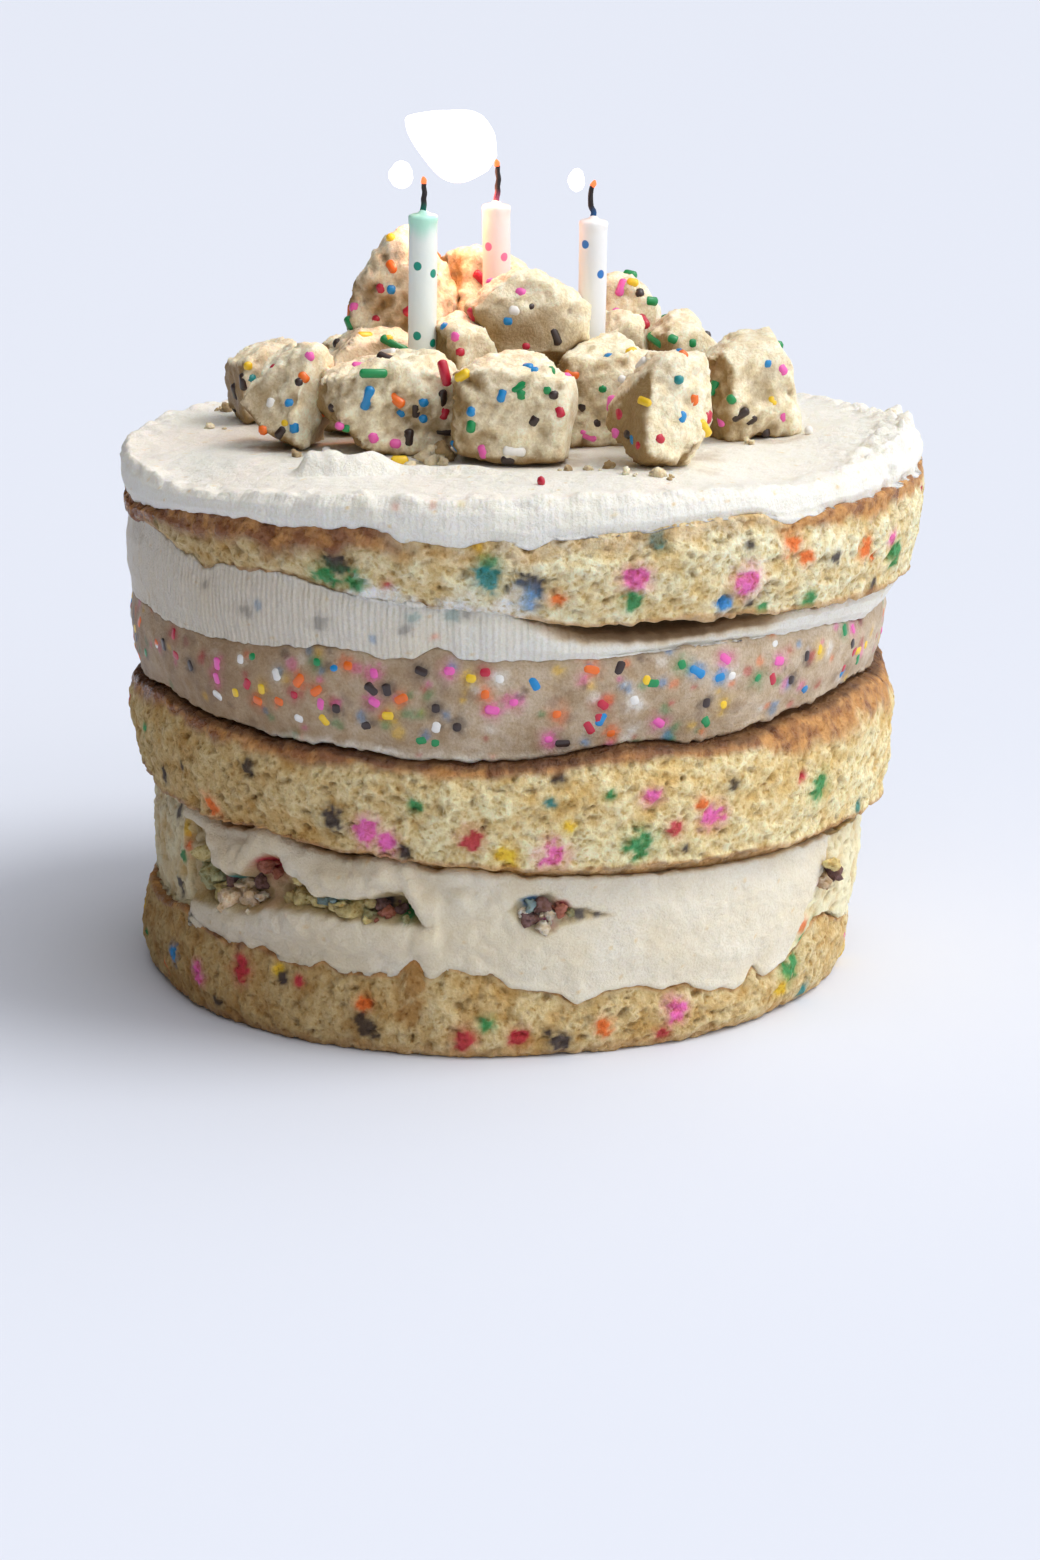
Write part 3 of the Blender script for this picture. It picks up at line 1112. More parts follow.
def build_chunk(name, seed):
    """A chunk of dough: the CAD lump, with some faces cut smooth and others crumbly."""
    points, normals, faces = worn_lump(name)
    rng = np.random.default_rng(400 + seed)
    shifted = points + seed * 31.7
    planes = list(CUTS.get(name[-2:], ()))
    for _ in range(RANDOM_CUTS):
        across, up = rng.uniform(-1, 1), rng.uniform(0, 1)
        back = rng.uniform(0.2, 1) if planes else rng.uniform(-1, 1)
        planes.append((across, back, up, 0.62 * (abs(across) + abs(back) + up)))
    points, normals = cut_facets(points, normals, planes)
    cuts = rng.normal(size=(3, 3)) * (1, 1, 0.5)
    cuts /= np.linalg.norm(cuts, axis=-1, keepdims=True)
    facing = (normals @ cuts.T).max(axis=-1) + 0.25 * noise(shifted, 6.0, 200)
    broken = smoothstep(0.90, 0.60, facing)
    coarse = layered(shifted, 6.5, 2, 202)
    crumbly = 1 - 2 * np.abs(layered(shifted, 4.4, 3, 203))
    crumbs = 1 - 2 * np.abs(layered(shifted, 2.3, 2, 206))
    fine = 1 - 2 * np.abs(noise(shifted, 1.4, 205))
    near, which = pores(shifted, 2.9, 204)
    pit = smoothstep(0.42, 0.15, near) * (which > 0.75)
    rough = 0.9 * crumbly + 0.5 * crumbs + 0.25 * fine - 0.7 - 0.6 * pit
    raised = coarse + broken * rough + 0.25
    points = points + normals * raised[:, None]
    sunny = normals[:, 2] + 0.8 * normals[:, 0]
    pale = np.clip(0.25 + 0.7 * coarse + broken * (0.4 * crumbly + 0.5 * crumbs) + 1.3 * sunny, 0, 1)
    colour = mixed(CHUNK, CHUNK_PALE, pale)
    hidden = np.clip(broken * (0.7 * pit - 0.3 * crumbly - 0.5 * crumbs) - 0.6 * normals[:, 2], 0, 1)
    colour = mixed(colour, CHUNK * (0.62, 0.50, 0.36), hidden)
    look = add_piece(name + "_look", points, faces, COOKIE_DOUGH, colour, points, 1 - broken)
    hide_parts(name)
    return look


# ---- Sprinkles and crumbs


ROD_SIDES = 8
ROD_PROFILE = ((0.0, -0.62), (0.45, -0.52), (0.82, -0.30), (1.0, 0.0))


def rod(length):
    """A sugar rod of radius 1 along Z with rounded ends: points and faces."""
    half = max(length / 2 - 0.55, 0.1)
    profile = [(wide, z - half) for wide, z in ROD_PROFILE[1:]]
    profile += [(wide, half - z) for wide, z in ROD_PROFILE[:0:-1]]
    turns = np.arange(ROD_SIDES) * 2 * np.pi / ROD_SIDES
    points = [(wide * np.cos(t), wide * np.sin(t), z) for wide, z in profile for t in turns]
    end = half - ROD_PROFILE[0][1]
    points += [(0, 0, -end), (0, 0, end)]
    return np.array(points), ring_faces(len(profile), ROD_SIDES)


def build_rods(name, rods):
    """One mesh of many sprinkles, each (centre, direction, normal, length, flatness, colour)."""
    shapes = []
    for centre, direction, normal, length, flatness, colour in rods:
        shape, quads = rod(length)
        along = Vector(direction).normalized()
        across = Vector(normal).cross(along).normalized()
        out = along.cross(across)
        basis = np.array((across, out * flatness, along))
        tint = np.tile(SPRINKLES[colour], (len(shape), 1))
        shapes.append((shape @ basis + np.array(centre), quads, tint))
    return add_merged(name, shapes, SUGAR)


def tangent_to(normal, roll):
    """A direction along a surface, turned by a roll in degrees from the upright."""
    up = Vector((0, 0, 1)) - normal * normal.z
    up = up.normalized() if up.length > 0.2 else Vector((1, 0, 0))
    return Matrix.Rotation(math.radians(roll), 3, normal) @ up


CUT_FLAT = 0.3  # how thick a sprinkle that was cut with the layer still stands, as a share
LAYER_SPRINKLES = 330  # tries
CHUNK_SPRINKLES = 70.0  # mm2 of a chunk's surface for each try


def side_rod(tree, azimuth, height, colour, length, roll):
    """A sprinkle cut off flush in a layer's side at an azimuth and height."""
    place, normal, outwards = on_side(tree, azimuth, height)
    if place is None or normal.dot(outwards) < 0.5:
        return None
    return (place - normal * 0.16, tangent_to(normal, roll), normal, length, CUT_FLAT, colour)


def build_dough_sprinkles(layer):
    """Sprinkles in the dough layer's side: placed ones at the front, and others all round."""
    tree = tree_of(layer.data)
    rng = np.random.default_rng(11)
    rods = [side_rod(tree, azimuth, height, *rest) for azimuth, height, *rest in DOUGH_DOTS]
    solid = solids["dough_layer"]
    for _ in range(LAYER_SPRINKLES):
        azimuth = rng.uniform(-180, 180)
        low, high = float(solid.low(azimuth)), float(solid.high(azimuth))
        height = low + 2 + (high - low - 3.5) * rng.random()
        near = any(
            abs(angle_between(azimuth, turn)) < 2.2 and abs(height - level) < 2.4
            for turn, level, *_ in DOUGH_DOTS
        )
        colour, length, roll = picked(rng), rng.uniform(1.4, 3.2), rng.uniform(0, 180)
        if near or (abs(azimuth) < 80 and rng.random() < 0.5):
            continue
        rods.append(side_rod(tree, azimuth, height, colour, length, roll))
    return build_rods("sprinkles_in_layer", [r for r in rods if r])


PLACED = {
    # By chunk: how far across and up its box from the front, colour, length and roll.
    "01": (
        (0.25, 0.55, "brown", 3.6, 5), (0.35, 0.75, "yellow", 1.8, 0), (0.4, 0.6, "teal", 1.8, 0),
        (0.65, 0.75, "red", 1.6, 0), (0.15, 0.2, "brown", 1.8, 0),
    ),
    "02": (
        (0.75, 0.95, "pink", 2.0, 20), (0.7, 0.75, "orange", 2.4, 30), (0.65, 0.7, "brown", 1.8, 0),
        (0.35, 0.5, "white", 2.2, 0), (0.55, 0.5, "blue", 2.0, 90), (0.5, 0.3, "yellow", 1.6, 0),
        (0.6, 0.25, "blue", 2.4, 0), (0.45, 0.2, "brown", 2.8, -40),
    ),
    "03": (
        (0.4, 0.85, "green", 5.4, 88), (0.35, 0.6, "blue", 5.2, -20), (0.55, 0.6, "orange", 4.2, 55),
        (0.7, 0.5, "brown", 4.4, 0), (0.75, 0.55, "blue", 2.0, 20), (0.6, 0.45, "blue", 2.0, 40),
        (0.75, 0.4, "blue", 1.8, 10), (0.9, 0.6, "brown", 3.6, 15), (0.9, 0.45, "red", 2.6, -20),
        (0.65, 0.2, "brown", 3.4, 0), (0.1, 0.5, "brown", 1.8, 20), (0.4, 0.2, "pink", 2.2, 20),
        (0.15, 0.3, "pink", 1.8, 0), (0.55, 0.15, "pink", 2.2, 80), (0.2, 0.3, "green", 1.6, 0),
        (0.9, 0.25, "brown", 3.8, 90), (0.3, 0.95, "pink", 3, 75),
    ),
    "04": (
        (0.4, 0.7, "blue", 2.8, -15), (0.55, 0.8, "green", 4.4, -60), (0.55, 0.7, "green", 2.2, 0),
        (0.75, 0.75, "green", 1.8, 90), (0.8, 0.95, "green", 1.8, 90), (0.6, 1.0, "blue", 2.2, 90),
        (0.65, 0.95, "blue", 2.0, 90), (0.8, 0.7, "brown", 1.8, 0), (0.65, 0.45, "brown", 2.4, -30),
        (0.85, 0.55, "red", 2.4, 20), (0.15, 0.55, "blue", 2.0, 0), (0.15, 0.4, "green", 2.6, 0),
        (0.25, 0.15, "pink", 2.8, 20), (0.5, 0.15, "white", 4.4, 85), (0.45, 0.05, "brown", 2.8, 85),
    ),
    "05": (
        (0.3, 0.65, "yellow", 3.4, 80), (0.75, 0.65, "orange", 3.0, 5), (0.6, 0.85, "teal", 1.8, 0),
        (0.65, 0.5, "blue", 2.4, -30), (0.2, 0.3, "blue", 2.2, 0), (0.25, 0.25, "red", 1.8, 40),
        (0.15, 0.35, "brown", 2.0, 80), (0.45, 0.3, "red", 2.2, 50), (0.05, 0.35, "pink", 2.2, 0),
        (0.85, 0.4, "yellow", 3.8, 35),
    ),
    "06": (
        (0.15, 0.75, "orange", 3, 80), (0.45, 0.6, "green", 1.6, 0), (0.25, 0.4, "brown", 2.4, 0),
        (0.6, 0.35, "red", 2.6, 50), (0.4, 0.25, "brown", 1.8, 0), (0.3, 0.1, "pink", 3.8, 50),
        (0.65, 0.7, "white", 1.8, 0), (0.5, 0.95, "blue", 2.0, 90),
    ),
    "07": (
        (0.15, 0.55, "green", 4.6, -30), (0.3, 0.4, "green", 2.0, 30), (0.1, 0.25, "red", 2.8, -30),
        (0.2, 0.2, "pink", 2.4, 20), (0.4, 0.25, "brown", 4, -50), (0.5, 0.2, "brown", 2.8, -40),
        (0.65, 0.1, "brown", 2.0, 0), (0.7, 0.4, "yellow", 2.2, 0), (0.8, 0.25, "pink", 2.6, 0),
        (0.65, 0.75, "blue", 1.8, 90), (0.8, 0.7, "pink", 2.4, 30),
    ),
    "08": ((0.5, 1.0, "yellow", 3.4, 80), (0.75, 0.9, "green", 6, 62), (0.7, 0.95, "yellow", 1.8, 0)),
    "09": ((0.15, 0.95, "blue", 1.8, 70), (0.3, 0.85, "pink", 2.0, 0), (0.4, 0.7, "red", 1.8, 0)),
    "11": (
        (0.05, 0.6, "red", 3.2, 10), (0.4, 0.65, "white", 2.2, 80), (0.35, 0.55, "blue", 2.0, 90),
        (0.45, 0.85, "pink", 2.4, 60), (0.55, 0.7, "brown", 1.4, 0), (0.75, 0.4, "brown", 3.8, 20),
        (0.5, 0.3, "red", 1.6, 0),
    ),
    "13": (
        (0.4, 0.75, "orange", 3, 40), (0.3, 0.55, "red", 2.2, 20), (0.4, 0.55, "blue", 1.8, 90),
        (0.05, 0.4, "pink", 2.0, 0), (0.0, 0.25, "green", 3.0, 25), (0.25, 0.3, "red", 1.6, 0),
    ),
    "16": ((0.5, 0.7, "yellow", 2.6, 60),),
    "17": (
        (0.45, 0.9, "pink", 3.8, -10), (0.6, 0.95, "yellow", 2.4, 80), (0.7, 0.85, "brown", 2.0, 0),
        (0.85, 0.75, "green", 3, 80),
    ),
    "18": ((0.35, 0.8, "green", 2.2, 60), (0.6, 0.75, "green", 2.0, 0), (0.5, 0.65, "orange", 2.0, 20)),
}


SIGHT_BACK, SIGHT_REACH = 60, 110  # where a ray towards a placed sprinkle starts, and its length
APART = 4.5  # the least distance between a scattered sprinkle and any other
HEAP_FOOT = 111  # a height under which the chunks are pressed into the topping
SEEN_SKIPPED = 0.8  # how many tries are skipped where placed sprinkles show


def build_chunk_sprinkles(chunks):
    """Sprinkles half sunk in the chunks: placed ones at the front, and others where nothing covers."""
    heap = tree_of(*(piece.data for piece in chunks))
    rods, taken = [], []
    for number, spots in PLACED.items():
        low, high = (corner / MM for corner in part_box("dough_chunk_" + number))
        for across, up, colour, length, roll in spots:
            through = Vector((low.x + (high.x - low.x) * across, low.y, low.z + (high.z - low.z) * up))
            sight = (through - Vector(EYE)).normalized()
            place, normal, _, _ = heap.ray_cast(through - sight * SIGHT_BACK, sight, SIGHT_REACH)
            if place is None:
                continue
            rods.append((place - normal * 0.45, tangent_to(normal, roll), normal, length, 0.8, colour))
            taken.append(place)
    rng = np.random.default_rng(12)
    for piece in chunks:
        count = len(piece.data.polygons)
        area = np.empty(count, np.float32)
        piece.data.polygons.foreach_get("area", area)
        wanted = int(round(float(area.sum()) / MM**2 / CHUNK_SPRINKLES))
        for index in rng.choice(count, size=wanted, p=area / area.sum()):
            polygon = piece.data.polygons[int(index)]
            place, normal = polygon.center / MM, Vector(polygon.normal)
            colour, length, roll = picked(rng), rng.uniform(1.6, 5.0), rng.uniform(0, 180)
            sink = rng.uniform(0.2, 0.7)
            to_eye = (Vector(EYE) - place).normalized()
            seen = normal.dot(to_eye) > 0.15 and place.y < 5
            crowded = min((place - other).length for other in taken) < APART
            covered = heap.ray_cast(place + normal * 0.5, normal, 4.0)[0] is not None
            if covered or place.z < HEAP_FOOT or crowded or (seen and rng.random() < SEEN_SKIPPED):
                continue
            rods.append((place - normal * sink, tangent_to(normal, roll), normal, length, 1.0, colour))
            taken.append(place)
    return build_rods("sprinkles_on_chunks", rods)


def blob(radius, seed, rough=0.7):
    """A lump with a rough surface: points and faces."""
    rings, count = 7, 11
    points = []
    for ring in range(1, rings + 1):
        polar_angle = math.pi * ring / (rings + 1)
        for step in range(count):
            turn = 2 * math.pi * (step + 0.5 * (ring % 2)) / count
            wide = math.sin(polar_angle)
            points.append((wide * math.cos(turn), wide * math.sin(turn), -math.cos(polar_angle)))
    points += [(0, 0, -1), (0, 0, 1)]
    points = np.array(points)
    wander = 1 + rough * noise(points + seed * 7.3, 0.9, 501)
    wander = wander + rough * 0.7 * noise(points + seed * 3.1, 0.45, 502)
    return points * wander[:, None] * radius, ring_faces(rings, count)


def build_blobs(name, lumps, material):
    """One mesh of many lumps, each (centre, radius, squash along Z, colour)."""
    shapes = []
    for number, (centre, radius, squash, colour) in enumerate(lumps):
        shape, quads = blob(radius, number)
        shade = 1 + 0.18 * noise(shape + number * 5.7, 1.0, 503)
        placed = shape * (1, 1, squash) + np.array(centre)
        shapes.append((placed, quads, np.asarray(colour) * shade[:, None]))
    return add_merged(name, shapes, material)


CRUMBS = {
    "beige": (0.74, 0.56, 0.38),
    "straw": (0.72, 0.58, 0.26),
    "mossy": (0.44, 0.42, 0.22),
    "rusty": (0.42, 0.15, 0.10),
    "dusky": (0.22, 0.12, 0.11),
    "bluish": (0.26, 0.36, 0.36),
    "pale": (0.82, 0.72, 0.58),
}
HOLLOW_CRUMBS = (
    # In the lower filling's hollows: azimuth, height, radius, kind.
    (-50.5, 29.5, 2.3, "mossy"), (-49, 26.0, 1.9, "straw"), (-47, 24.6, 1.8, "beige"),
    (-45, 27.6, 2.0, "beige"), (-43.5, 25.4, 1.6, "beige"), (-42, 29.0, 1.2, "dusky"),
    (-41.5, 26.0, 1.1, "pale"), (-47.5, 28.6, 1.4, "dusky"), (-52.5, 33.0, 2.0, "straw"),
    (-53, 28.0, 1.8, "mossy"), (-39, 33.2, 1.3, "rusty"), (-37.6, 32.0, 0.9, "rusty"),
    (-31.5, 28.4, 1.7, "straw"), (-29, 28.8, 2.0, "straw"), (-26.4, 28.4, 1.9, "bluish"),
    (-24.6, 28.9, 1.8, "straw"), (-22.4, 28.2, 1.9, "straw"), (-20.2, 29.2, 1.6, "straw"),
    (-19.6, 27.6, 1.3, "mossy"), (-17.8, 29.2, 1.3, "dusky"), (-16.2, 28.2, 1.2, "rusty"),
    (-14.6, 28.6, 1.0, "dusky"), (-13.2, 27.6, 0.8, "mossy"), (-34.0, 27.8, 1.2, "straw"),
    (5.6, 31.2, 1.1, "bluish"), (7.4, 31.0, 1.2, "dusky"), (8.6, 29.4, 1.0, "pale"),
    (10.2, 30.2, 1.0, "rusty"), (11.6, 29.6, 0.8, "mossy"), (5.6, 28.8, 1.2, "dusky"),
    (7.4, 27.0, 1.1, "pale"), (4.4, 29.8, 0.9, "pale"), (60.0, 29.0, 1.6, "straw"),
    (62.5, 26.5, 1.5, "dusky"), (59.5, 25.5, 1.2, "beige"),
)


BITS = (1.2, 0.5, 0.4, 0.45)  # a crumb and three bits beside it, as shares of its radius
CREAM_RADIUS = 72.5  # bits this far out would lie on the cream, not in a hollow
HOLLOW_RADIUS = 72  # about how far out the hollows' walls are


def build_hollow_crumbs(filling):
    """Cake crumbs packed in the lower filling's hollows."""
    tree = tree_of(filling.data)
    rng = np.random.default_rng(13)
    lumps = []
    for azimuth, height, radius, kind in HOLLOW_CRUMBS:
        for size in BITS:
            aside = (0.0, 0.0) if size > 1 else rng.normal(size=2) * radius * 0.7
            turn = azimuth + math.degrees(aside[0] / HOLLOW_RADIUS)
            place, _, outwards = on_side(tree, turn, height + aside[1])
            if place is None or (size < 1 and Vector((place.x, place.y, 0)).length > CREAM_RADIUS):
                continue
            colour = np.array(CRUMBS[kind]) * rng.uniform(0.75, 1.15)
            lumps.append((place + outwards * radius * size * 0.7, radius * size, 0.85, colour))
    return build_blobs("crumbs_in_filling", lumps, SPONGE)


LOOSE_SPRINKLES = (
    # X, Y, colour, length, roll from X, tilt up from the topping.
    (-18, -37, "yellow", 3.4, 5, 0), (-13, -33.5, "white", 4.2, 35, 10),
    (-32.5, -27, "white", 1.8, 0, 0), (9, -64, "red", 1.2, 30, 0), (62, -14, "white", 1.6, 0, 0),
    (30, 52, "pink", 4.0, 50, 0), (-20, 50, "green", 4.4, 110, 0), (48, 47, "orange", 3.6, 20, 0),
    (-50, 34, "blue", 3.8, 75, 0),
)
LOOSE_CRUMBS = (
    # X, Y, radius: bits of dough round the heap.
    (-11.5, -36.0, 2.7), (-9.5, -34.5, 2.2), (-25.5, -34.5, 1.1), (22, -46, 1.0), (25, -53.5, 0.9),
    (31, -54, 1.2), (18, -47, 0.7), (-38, -30, 1.0), (-30, -35, 0.8), (50, -19, 1.1), (-58, 8, 0.9),
    (-56, 30, 1.2), (0, 52, 1.1), (38, 50, 1.0), (-40, 45, 1.3), (14, -47, 0.8),
)


CLEAR_TOP = 130.0  # a height from which to look down on the topping


def topping_at(tree, x, y):
    """The topping's height at a place."""
    return CLEAR_TOP - hit(tree, (x, y, CLEAR_TOP), (0, 0, -1), 20)


def build_on_topping(topping):
    """Sprinkles and bits of dough that lie loose on the topping, and one rod stuck between chunks."""
    tree = tree_of(topping.data)
    rods = []
    for x, y, colour, length, roll, tilt in LOOSE_SPRINKLES:
        turn, rise = math.radians(roll), math.radians(tilt)
        along = (math.cos(turn) * math.cos(rise), math.sin(turn) * math.cos(rise), math.sin(rise))
        centre = (x, y, topping_at(tree, x, y) + 0.6)
        rods.append((centre, along, (0, 0, 1), length, 1.0, colour))
    rods.append(((-9.4, -29.5, 125.0), (-0.25, 0.1, 1.0), (0, -1, 0), 5.2, 1.0, "red"))
    build_rods("sprinkles_loose", rods)
    rng = np.random.default_rng(14)
    lumps = []
    for x, y, radius in LOOSE_CRUMBS:
        spots = [(x, y, radius)]
        for _ in range(2):
            spots.append((x + rng.normal() * 2.5, y + rng.normal() * 2.5, radius * 0.4))
        for px, py, size in spots:
            centre = (px, py, topping_at(tree, px, py) + size * 0.45)
            lumps.append((centre, size, 0.85, mixed(CHUNK, CHUNK_PALE, rng.random())))
    build_blobs("dough_crumbs", lumps, COOKIE_DOUGH)


# ---- Candles


DOTS_AROUND = 5
DOT_SPACING = 13.7
CANDLE_RADIUS = 2.8
CANDLES = {
    # The colours of the wax, of its dots and of its melted edge. shift and phase set how the columns
    # of dots are staggered along the stick, and turned is its turn in degrees.
    "left": {
        "wax": (0.84, 0.92, 0.89), "dots": (0.0, 0.30, 0.22), "edge": (0.45, 0.83, 0.69),
        "shift": 0.11, "phase": 0.10, "turned": 15, "slot": "wax_mint",
    },
    "middle": {
        "wax": (0.95, 0.85, 0.82), "dots": (0.92, 0.22, 0.42), "edge": (0.98, 0.88, 0.83),
        "shift": 0.15, "phase": 0.02, "turned": 0, "slot": "wax_pink",
    },
    "right": {
        "wax": (0.88, 0.90, 0.93), "dots": (0.03, 0.20, 0.58), "edge": (0.94, 0.95, 0.96),
        "shift": 0.43, "phase": 0.04, "turned": 0, "slot": "wax_blue",
    },
}
CANDLE_TIP = (
    # Its melted top: a share of the radius, and the distance below the tip.
    (1.0, 3.0), (1.03, 2.2), (1.04, 1.6), (1.0, 1.15), (0.86, 0.95), (0.66, 0.80), (0.45, 0.70),
    (0.30, 0.40), (0.2, 0.0),
)


def wax_material(name, look):
    """Wax with printed dots in columns round the stick, drawn on its unrolled side."""
    made = Nodes("wax_" + name, 0.36, **soft(0.4, 1.5, (1.0, 0.9, 0.8)))
    split = made.add("SeparateXYZ", {0: made.unrolled()})
    column = made.maths("MULTIPLY", split.outputs[0], DOTS_AROUND / (2 * math.pi * MM))
    number = made.maths("FLOOR", column)
    across = made.maths("SUBTRACT", made.maths("FRACT", column), 0.5)
    row = made.maths("MULTIPLY_ADD", split.outputs[1], 1 / (DOT_SPACING * MM), look["phase"])
    row = made.maths("MULTIPLY_ADD", number, look["shift"], row)
    along = made.maths("SUBTRACT", made.maths("FRACT", row), 0.5)
    across = made.maths("MULTIPLY", across, 2 * math.pi * CANDLE_RADIUS / DOTS_AROUND)
    along = made.maths("MULTIPLY", along, DOT_SPACING)
    squares = [made.maths("MULTIPLY", side, side) for side in (across, along)]
    squares = made.maths("ADD", *squares)
    inside = made.ranged(made.maths("SQRT", squares), 0.80, 0.92, 1.0, 0.0)
    inside = made.maths("MULTIPLY", inside, made.maths("LESS_THAN", split.outputs[2], 0.5 * MM))
    colours = {"Factor": inside, 6: made.own("tint", "Color"), 7: (*look["dots"], 1.0)}
    both = made.add("Mix", colours, data_type="RGBA")
    made.link(both.outputs[2], "Base Color")
    made.relief((made.texture("Noise", made.place(), 1.6, Detail=3.0), 0.08))
    return made.material


def ends_of(name):
    """The middle of a long CAD node's foot and of its top."""
    points = points_of(name)
    low, high = points[:, 2].min(), points[:, 2].max()
    foot, top = points[points[:, 2] < low + 0.3], points[points[:, 2] > high - 0.3]
    return foot.mean(axis=0), top.mean(axis=0)


def build_candle(side):
    """A stick of wax that stands where its CAD stick does, melted at its top."""
    look = CANDLES[side]
    foot, top = ends_of("candle_" + side)
    length = float(np.linalg.norm(top - foot))
    axis = Vector((top - foot) / length)
    count, rows = 36, 60
    profile = [(0.88, 0.0), (1.0, 0.5)]
    profile += [(1.0, z) for z in np.linspace(1.5, length - 3.6, rows)]
    profile += [(wide, length - short) for wide, short in CANDLE_TIP]
    points, unrolled = [], []
    for wide, height in profile:
        for step in range(count):
            turn = 2 * math.pi * step / count - math.pi
            radius = CANDLE_RADIUS * wide
            points.append((radius * math.sin(turn), -radius * math.cos(turn), height))
            plain = height > length - 3.3 or step in (0, count - 1)
            unrolled.append((turn - math.radians(look["turned"]), height, 1.0 if plain else 0.0))
    points += [(0, 0, 0), (0, 0, length)]
    unrolled += [(0, 0, 1), (0, length, 1)]
    points = np.array(points)
    points[:, :2] *= 1 + 0.02 * noise(points, (2.0, 2.0, 9.0), 301)[:, None]
    runs = 1.6 * noise(points * (1, 1, 0), 1.5, 302)
    melted = smoothstep(length - 6.0, length - 2.0, points[:, 2] + runs)
    spill = smoothstep(0.2, 0.8, noise(points, (1.6, 1.6, 6.0), 303))
    spill = smoothstep(length - 3.0, length - 1.5, points[:, 2]) * spill
    points[:, :2] *= 1 + 0.10 * spill[:, None]
    tint = mixed(look["wax"], look["edge"], melted * 0.9)
    straight = Vector((0, 0, 1)).rotation_difference(axis).to_matrix()
    points = points @ np.array(straight).T + foot
    faces = ring_faces(len(profile), count)
    name = "candle_" + side
    wax = wax_material(side, look)
    piece = add_piece(name + "_look", points, faces, wax, tint, unrolled)
    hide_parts(name)


def wick_material():
    """Charred thread."""
    made = Nodes("wick", 0.85)
    char = made.texture("Noise", made.place(), 0.3, Detail=2.0)
    made.painted(made.between((0.6, 0.6, 0.6), (1.3, 1.3, 1.3), char))
    made.relief((made.texture("Noise", made.place(), 0.35), 0.15))
    return made.material


def glowing_material(name, colour, strength):
    """Something that gives off its own light: an ember or a flame."""
    made = Nodes(name, 0.9, Emission_Color=(*colour, 1.0), Emission_Strength=strength)
    flicker = made.texture("Noise", made.place(), 2.0)
    made.link(made.between([c * 0.8 for c in colour], colour, flicker), "Base Color")
    return made.material


TUBE_SIDES = 10


def tube(line, radii, count=TUBE_SIDES, braid=0.0):
    """A tube along a line of points, with a radius at each: points and faces."""
    turns = np.arange(count) * 2 * np.pi / count
    rings = []
    for step, (centre, radius) in enumerate(zip(line, radii)):
        along = line[min(step + 1, len(line) - 1)] - line[max(step - 1, 0)]
        across = np.cross(along, (0.0, 1.0, 0.0))
        across /= np.linalg.norm(across)
        other = np.cross(across, along) / np.linalg.norm(along)
        wide = radius * (1 + braid * np.cos(3 * turns + step * 1.1))
        aside = (wide * np.cos(turns))[:, None] * across
        rings.append(centre + aside + (wide * np.sin(turns))[:, None] * other)
    points = np.concatenate((*rings, line[:1], line[-1:]))
    faces = ring_faces(len(line), count)
    a, b, c = (points[i] for i in faces[0][:3])
    outwards = np.dot(np.cross(b - a, c - a), (a + b + c) / 3 - line[:2].mean(axis=0)) > 0
    return points, faces if outwards else [face[::-1] for face in faces]


def build_wick(side):
    """A braided wick along its CAD tube, with an ember on its tip."""
    points = points_of("wick_" + side)
    low, high = points[:, 2].min(), points[:, 2].max()
    steps = 16
    line = []
    for height in np.linspace(low - 0.6, high - 0.4, steps):
        weight = np.exp(-(((points[:, 2] - height) / 0.9) ** 2))
        centre = (points * weight[:, None]).sum(axis=0) / weight.sum()
        line.append((centre[0], centre[1], height))
    line = np.array(line)
    share = np.linspace(0, 1, steps)
    shape, faces = tube(line, 0.60 * (1 - 0.25 * share), braid=0.14)
    base = np.array(CANDLES[side]["dots"]) * 0.4
    ring_tint = mixed(base, (0.025, 0.02, 0.022), smoothstep(0.08, 0.35, share))
    tint = np.repeat(ring_tint, TUBE_SIDES, axis=0)
    tint = np.concatenate((tint, ring_tint[:1], ring_tint[-1:]))
    piece = add_piece("wick_" + side + "_look", shape, faces, WICK, tint)
    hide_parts("wick_" + side)
    along = line[-1] - line[-2]
    radii = np.array((0.50, 0.56, 0.56, 0.50, 0.36, 0.16))
    tip = line[-1] + np.linspace(-0.9, 0.5, len(radii))[:, None] * along / np.linalg.norm(along)
    shape, faces = tube(tip, radii, braid=0.1)
    add_piece("ember_" + side, shape, faces, EMBER)


FLAMES = {
    # From the wick, blown to the left: the points of its middle line and its half-thickness there.
    "middle": (
        (
            (-0.5, 8.6, 160.6), (-2.5, 8.6, 161.8), (-5.0, 8.6, 163.2), (-8.0, 8.6, 164.6),
            (-11.5, 8.6, 166.2), (-14.5, 8.6, 167.8), (-16.6, 8.6, 169.0), (-17.6, 8.6, 169.6),
        ),
        (1.6, 5.6, 7.4, 7.2, 5.6, 3.6, 1.6, 0.4),
    ),
    "left": (
        (
            (-15.8, -11, 160.9), (-16.6, -11, 160.8), (-18.0, -11, 160.7), (-19.4, -11, 160.7),
            (-20.4, -11, 160.8),
        ),
        (0.8, 2.2, 2.8, 2.3, 0.7),
    ),
    "right": (
        ((17.9, 2, 158.0), (17.4, 2, 158.0), (16.4, 2, 158.1), (15.3, 2, 158.2), (14.6, 2, 158.3)),
        (0.6, 1.8, 2.4, 1.9, 0.6),
    ),
}


FLAME_RINGS = 24  # rings along it, and points round each


